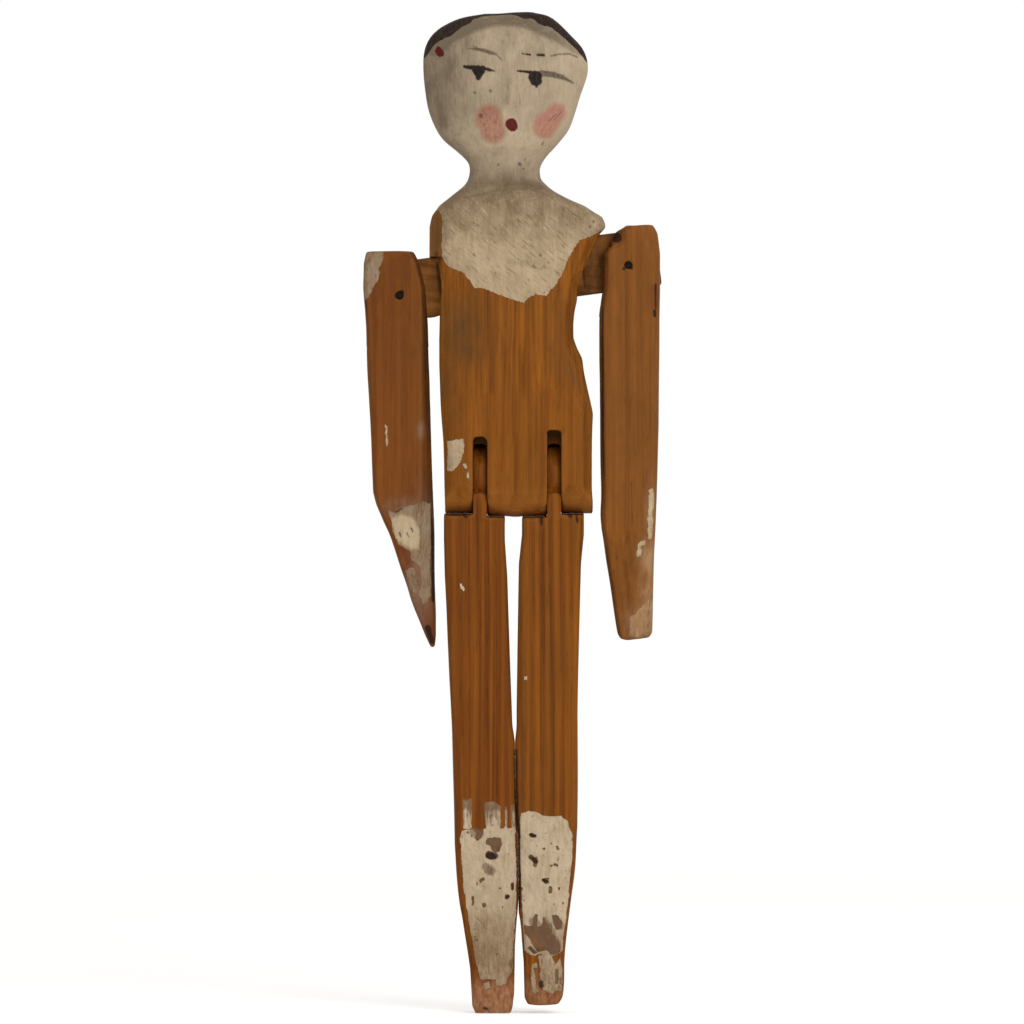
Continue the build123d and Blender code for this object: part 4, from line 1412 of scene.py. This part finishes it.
def trunkFinish():
    finish, tree, shader, here = newFinish("trunkWoodAndPaint")
    parts = tree.lay("SeparateXYZ", ((0, here),))
    up = parts.outputs["Z"]
    wood = tree.use(softwoodGrain, StreakDepth=tree.ramp(up, 0.1520, 0.1580, 0.7, 1.9), **woods["trunk"])
    # painted light: the wood at the round bottoms of the hips is made paler, where they turn away from the
    # lamps
    litHipBottoms = tree.blend(tree.ramp(up, 0.1245, 0.1318, 0.60, 0.0), wood["Color"], swatch(182, 114, 50))
    handled = tree.handle(
        Color=litHipBottoms, Dirt=trunkPaint["grime"], Rubbed=swatch(152, 98, 40), Grime=tree.mark("grime"),
        Strength=1.0, Sheen=0.62,
    )
    across = parts.outputs["X"]
    onHead = tree.ramp(up, 0.2010, 0.2120)
    # the face is darker to the left, partly dirt and partly painted shade; darker above the brow fold,
    # partly dirt and partly painted shade on the sloping forehead; darker at the neck, painted shadow under
    # the chin; and lighter by the chin and to the right, painted light
    leftDirtAndShade = tree.ramp(across, -0.0195, -0.0035, 0.90, 0.34)
    high = tree.ramp(tree.mark("fold"), -0.2, 1.4, 0.0, 0.62)
    low = tree.ramp(up, 0.2050, 0.2175, 0.78, 0.0)
    chin = tree.ramp(up, 0.2180, 0.2280, -0.30, 0.0)
    bright = tree.ramp(across, 0.0060, 0.0150, 0.0, -0.25)
    soil = tree.plus(tree.plus(leftDirtAndShade, high), tree.plus(low, tree.plus(chin, bright)))
    soil = tree.times(soil, onHead)
    # the chest is darker up towards the neck: dirt, and painted shade on the slope of the neck
    chestDirtAndShade = tree.times(tree.ramp(up, 0.1850, 0.2060, 0.22, 0.85), tree.minus(1.0, onHead))
    soil = tree.plus(soil, chestDirtAndShade)
    grain = tree.use(
        oldPaint, Under=handled["Color"], UnderHeight=wood["Height"],
        Clean=tree.blend(onHead, trunkPaint["clean"], trunkPaint["faceClean"]),
        Dirty=tree.blend(onHead, trunkPaint["dirty"], trunkPaint["faceDirty"]), Soil=soil,
        Edge=tree.mark("paint"), Wear=tree.times(tree.mark("edge"), 0.2), Ragged=0.75, Chips=0.12,
        Brush=(1500, 1500, 170), Cloudy=tree.ramp(onHead, 0.0, 1.0, 1.25, 1.1),
        Brushing=tree.ramp(onHead, 0.0, 1.0, 0.65, 0.5), Scratch=tree.ramp(onHead, 0.0, 1.0, 0.75, 0.38),
        Lean=tree.ramp(onHead, 0.0, 1.0, 0.85, 0.1), GroundShare=0.45,
    )
    skip = tree.cloud(here, (1500, 1500, 800), 3.0, 0.7)
    waver = tree.mid(skip)
    tone = grain["Color"]
    for name, look in faceColours.items():
        hold = tree.ramp(skip, 0.30, 0.62, look["strong"], look["strong"] * (1.0 - look["patchy"]))
        tone = tree.touched(tone, name, look["colour"], waver, look["ragged"], look["soft"], hold)
    lock = tree.cloud(here, (620, 620, 480), 3.0, 0.6)
    strand = tree.cloud(here, (1900, 1900, 300), 3.0, 0.6)
    hairEdge = tree.fused(tree.mid(lock), 1.1, tree.mark("hair"))
    hairMask = tree.ramp(hairEdge, -0.07, 0.09)
    chipped = tree.ramp(tree.fused(strand, 0.5, lock), 0.97, 1.02)
    whiteSpeck = tree.ramp(tree.mark("speck"), -0.08, 0.08)
    hairMask = tree.times(hairMask, tree.minus(1.0, tree.most(chipped, whiteSpeck)))
    hairTone = tree.blend(tree.ramp(strand, 0.35, 0.75), trunkPaint["hair"], trunkPaint["hairWorn"])
    tone = tree.blend(hairMask, tone, hairTone)
    tree.feed(shader.inputs["Base Color"], tone)
    covered = tree.most(grain["Mask"], hairMask)
    rough = tree.fused(waver, 0.2, 0.66)
    tree.feed(shader.inputs["Roughness"], tree.between(covered, handled["Roughness"], rough))
    tree.relief(shader, tree.fused(hairMask, 0.35, grain["Height"]), 0.00016)
    return finish


def legFinish(side):
    finish, tree, shader, here = newFinish("legWoodAndSock_" + side)
    wood = tree.use(softwoodGrain, **woods["leg_" + side])
    toe = tree.mark("toe")
    toeWood = tree.cloud(here, (900, 900, 300), 4.0, 0.7)
    toeDark, toePale = legMarks[side]["toeTones"]
    toeTone = tree.blend(tree.ramp(toeWood, 0.30, 0.70), swatch(*toeDark), swatch(*toePale))
    under = tree.blend(tree.times(toe, 0.85), wood["Color"], toeTone)
    handled = tree.handle(
        Color=under, Dirt=swatch(58, 32, 14), Rubbed=swatch(146, 88, 30), Grime=tree.mark("grime"),
        Strength=0.4, Sheen=0.58,
    )
    parts = tree.lay("SeparateXYZ", ((0, here),))
    soil = tree.ramp(parts.outputs["Z"], *legMarks[side]["soil"])
    sock = tree.use(
        oldPaint, Under=handled["Color"], UnderHeight=wood["Height"], Clean=swatch(208, 187, 157),
        Dirty=swatch(142, 116, 86), Soil=soil, Edge=tree.mark("paint"), Bare=tree.mark("bare"),
        Thin=tree.mark("thin"), Wear=tree.times(tree.mark("edge"), 0.45), Ragged=0.7, Chips=0.42,
        Brush=(1400, 1400, 200), Cloudy=1.0, Scratch=0.45, Lean=0.75, GroundShare=0.78,
    )
    waver = tree.mid(toeWood)
    spottedAndShaded = tree.touched(sock["Color"], "grey", swatch(112, 86, 66), waver, 2.4, 0.3, 0.62)
    # dark spots on the socks, and painted shadow at the hip joints and in the seam between the legs
    spottedAndShaded = tree.touched(spottedAndShaded, "dark", swatch(40, 21, 11), waver, 0.7, 0.20, 0.90)
    tree.feed(shader.inputs["Base Color"], spottedAndShaded)
    tree.feed(shader.inputs["Roughness"], tree.between(sock["Mask"], handled["Roughness"], 0.66))
    tree.relief(shader, sock["Height"], 0.00018)
    return finish


def armFinish(side):
    finish, tree, shader, here = newFinish("armWoodAndPaint_" + side)
    wood = tree.use(softwoodGrain, **woods["arm_" + side])
    film = tree.cloud(here, (520, 520, 170), 4.0, 0.7)
    waver = tree.mid(film)
    rusty = tree.touched(wood["Color"], "rust", swatch(104, 54, 24), waver, 2.0, 0.9, 0.7)
    # painted shade on the faces turned toward the trunk
    inner = tree.times(tree.mark("inner"), tree.ramp(film, 0.3, 0.6, 0.6, 0.95))
    tones = {name: swatch(*tone) for name, tone in armMarks[side]["tones"].items()}
    handled = tree.handle(
        Color=tree.blend(inner, rusty, tones["inner"]), Dirt=swatch(56, 30, 14), Rubbed=swatch(150, 94, 40),
        Grime=tree.mark("grime"), Strength=0.4, Sheen=0.58,
    )
    hazeMask = tree.times(tree.mark("haze"), tree.ramp(film, 0.3, 0.6, 0.25, 1.0))
    hazed = tree.blend(hazeMask, handled["Color"], tones["haze"])
    bright = tree.mark("bright")
    clean = tree.blend(bright, tones["clean"], swatch(208, 188, 154))
    dirty = tree.blend(bright, swatch(124, 90, 58), swatch(162, 134, 98))
    paint = tree.use(
        oldPaint, Under=hazed, UnderHeight=wood["Height"], Clean=clean, Dirty=dirty, Soil=0.45,
        Edge=tree.mark("paint"), Thin=tree.minus(0.42, tree.times(bright, 0.3)),
        Wear=tree.times(tree.mark("edge"), 0.4), Ragged=1.1, Chips=0.3, Brush=(1400, 1400, 220), Cloudy=1.2,
        Scratch=0.5, Lean=-0.5, GroundShare=0.2,
    )
    # dark marks, and painted shade on the inner sides, by the bar and in the chipped corner
    spottedAndShaded = tree.touched(paint["Color"], "dark", swatch(32, 17, 9), waver, 0.5, 0.2, 0.88)
    tree.feed(shader.inputs["Base Color"], spottedAndShaded)
    tree.feed(shader.inputs["Roughness"], tree.between(paint["Mask"], handled["Roughness"], 0.64))
    tree.relief(shader, paint["Height"], 0.00016)
    return finish


def sticksFinish(name, wood, turned, dirt, rubbed, strength):
    # bare wood, with its grain turned to run along the stick
    finish, tree, shader, here = newFinish(name)
    along = tree.lay("Mapping", (("Rotation", turned), ("Vector", here))).outputs["Vector"]
    grain = tree.use(softwoodGrain, Place=along, **woods[wood])
    soiled = tree.cloud(here, (240, 240, 240), 3.0, 0.6)
    # grime from noise, plus painted shadow on the bar's right end
    handled = tree.handle(
        Color=grain["Color"], Dirt=dirt, Rubbed=rubbed,
        Grime=tree.plus(tree.ramp(soiled, 0.35, 0.7), tree.mark("paintedArmShadow")), Strength=strength, Sheen=0.62,
    )
    tree.feed(shader.inputs["Base Color"], handled["Color"])
    tree.feed(shader.inputs["Roughness"], handled["Roughness"])
    tree.relief(shader, grain["Height"], 0.00014)
    return finish


# the turn lays the grain along each stick
sticks = {
    "shoulder_bar": (
        "shoulderBarWood", "bar", (0, math.radians(-97.6), 0), swatch(58, 32, 12), swatch(150, 96, 44),
        0.35,
    ),
    "arm_pin": ("armPegWood", "peg", (math.radians(90), 0, 0), swatch(10, 5, 3), swatch(34, 18, 10), 0.9),
    "hip_pin": ("hipPegWood", "peg", (0, math.radians(90), 0), swatch(30, 16, 8), swatch(60, 36, 20), 0.7),
}
finishes = {"torso": trunkFinish()}
for side in ("left", "right"):
    finishes["leg_" + side] = legFinish(side)
    finishes["arm_" + side] = armFinish(side)
for name, look in sticks.items():
    finishes[name] = sticksFinish(*look)
for name, piece in pieces.items():
    piece.data.materials.append(finishes[name[:7] if "_pin_" in name else name])
print("finishes laid on", len(pieces), "pieces")
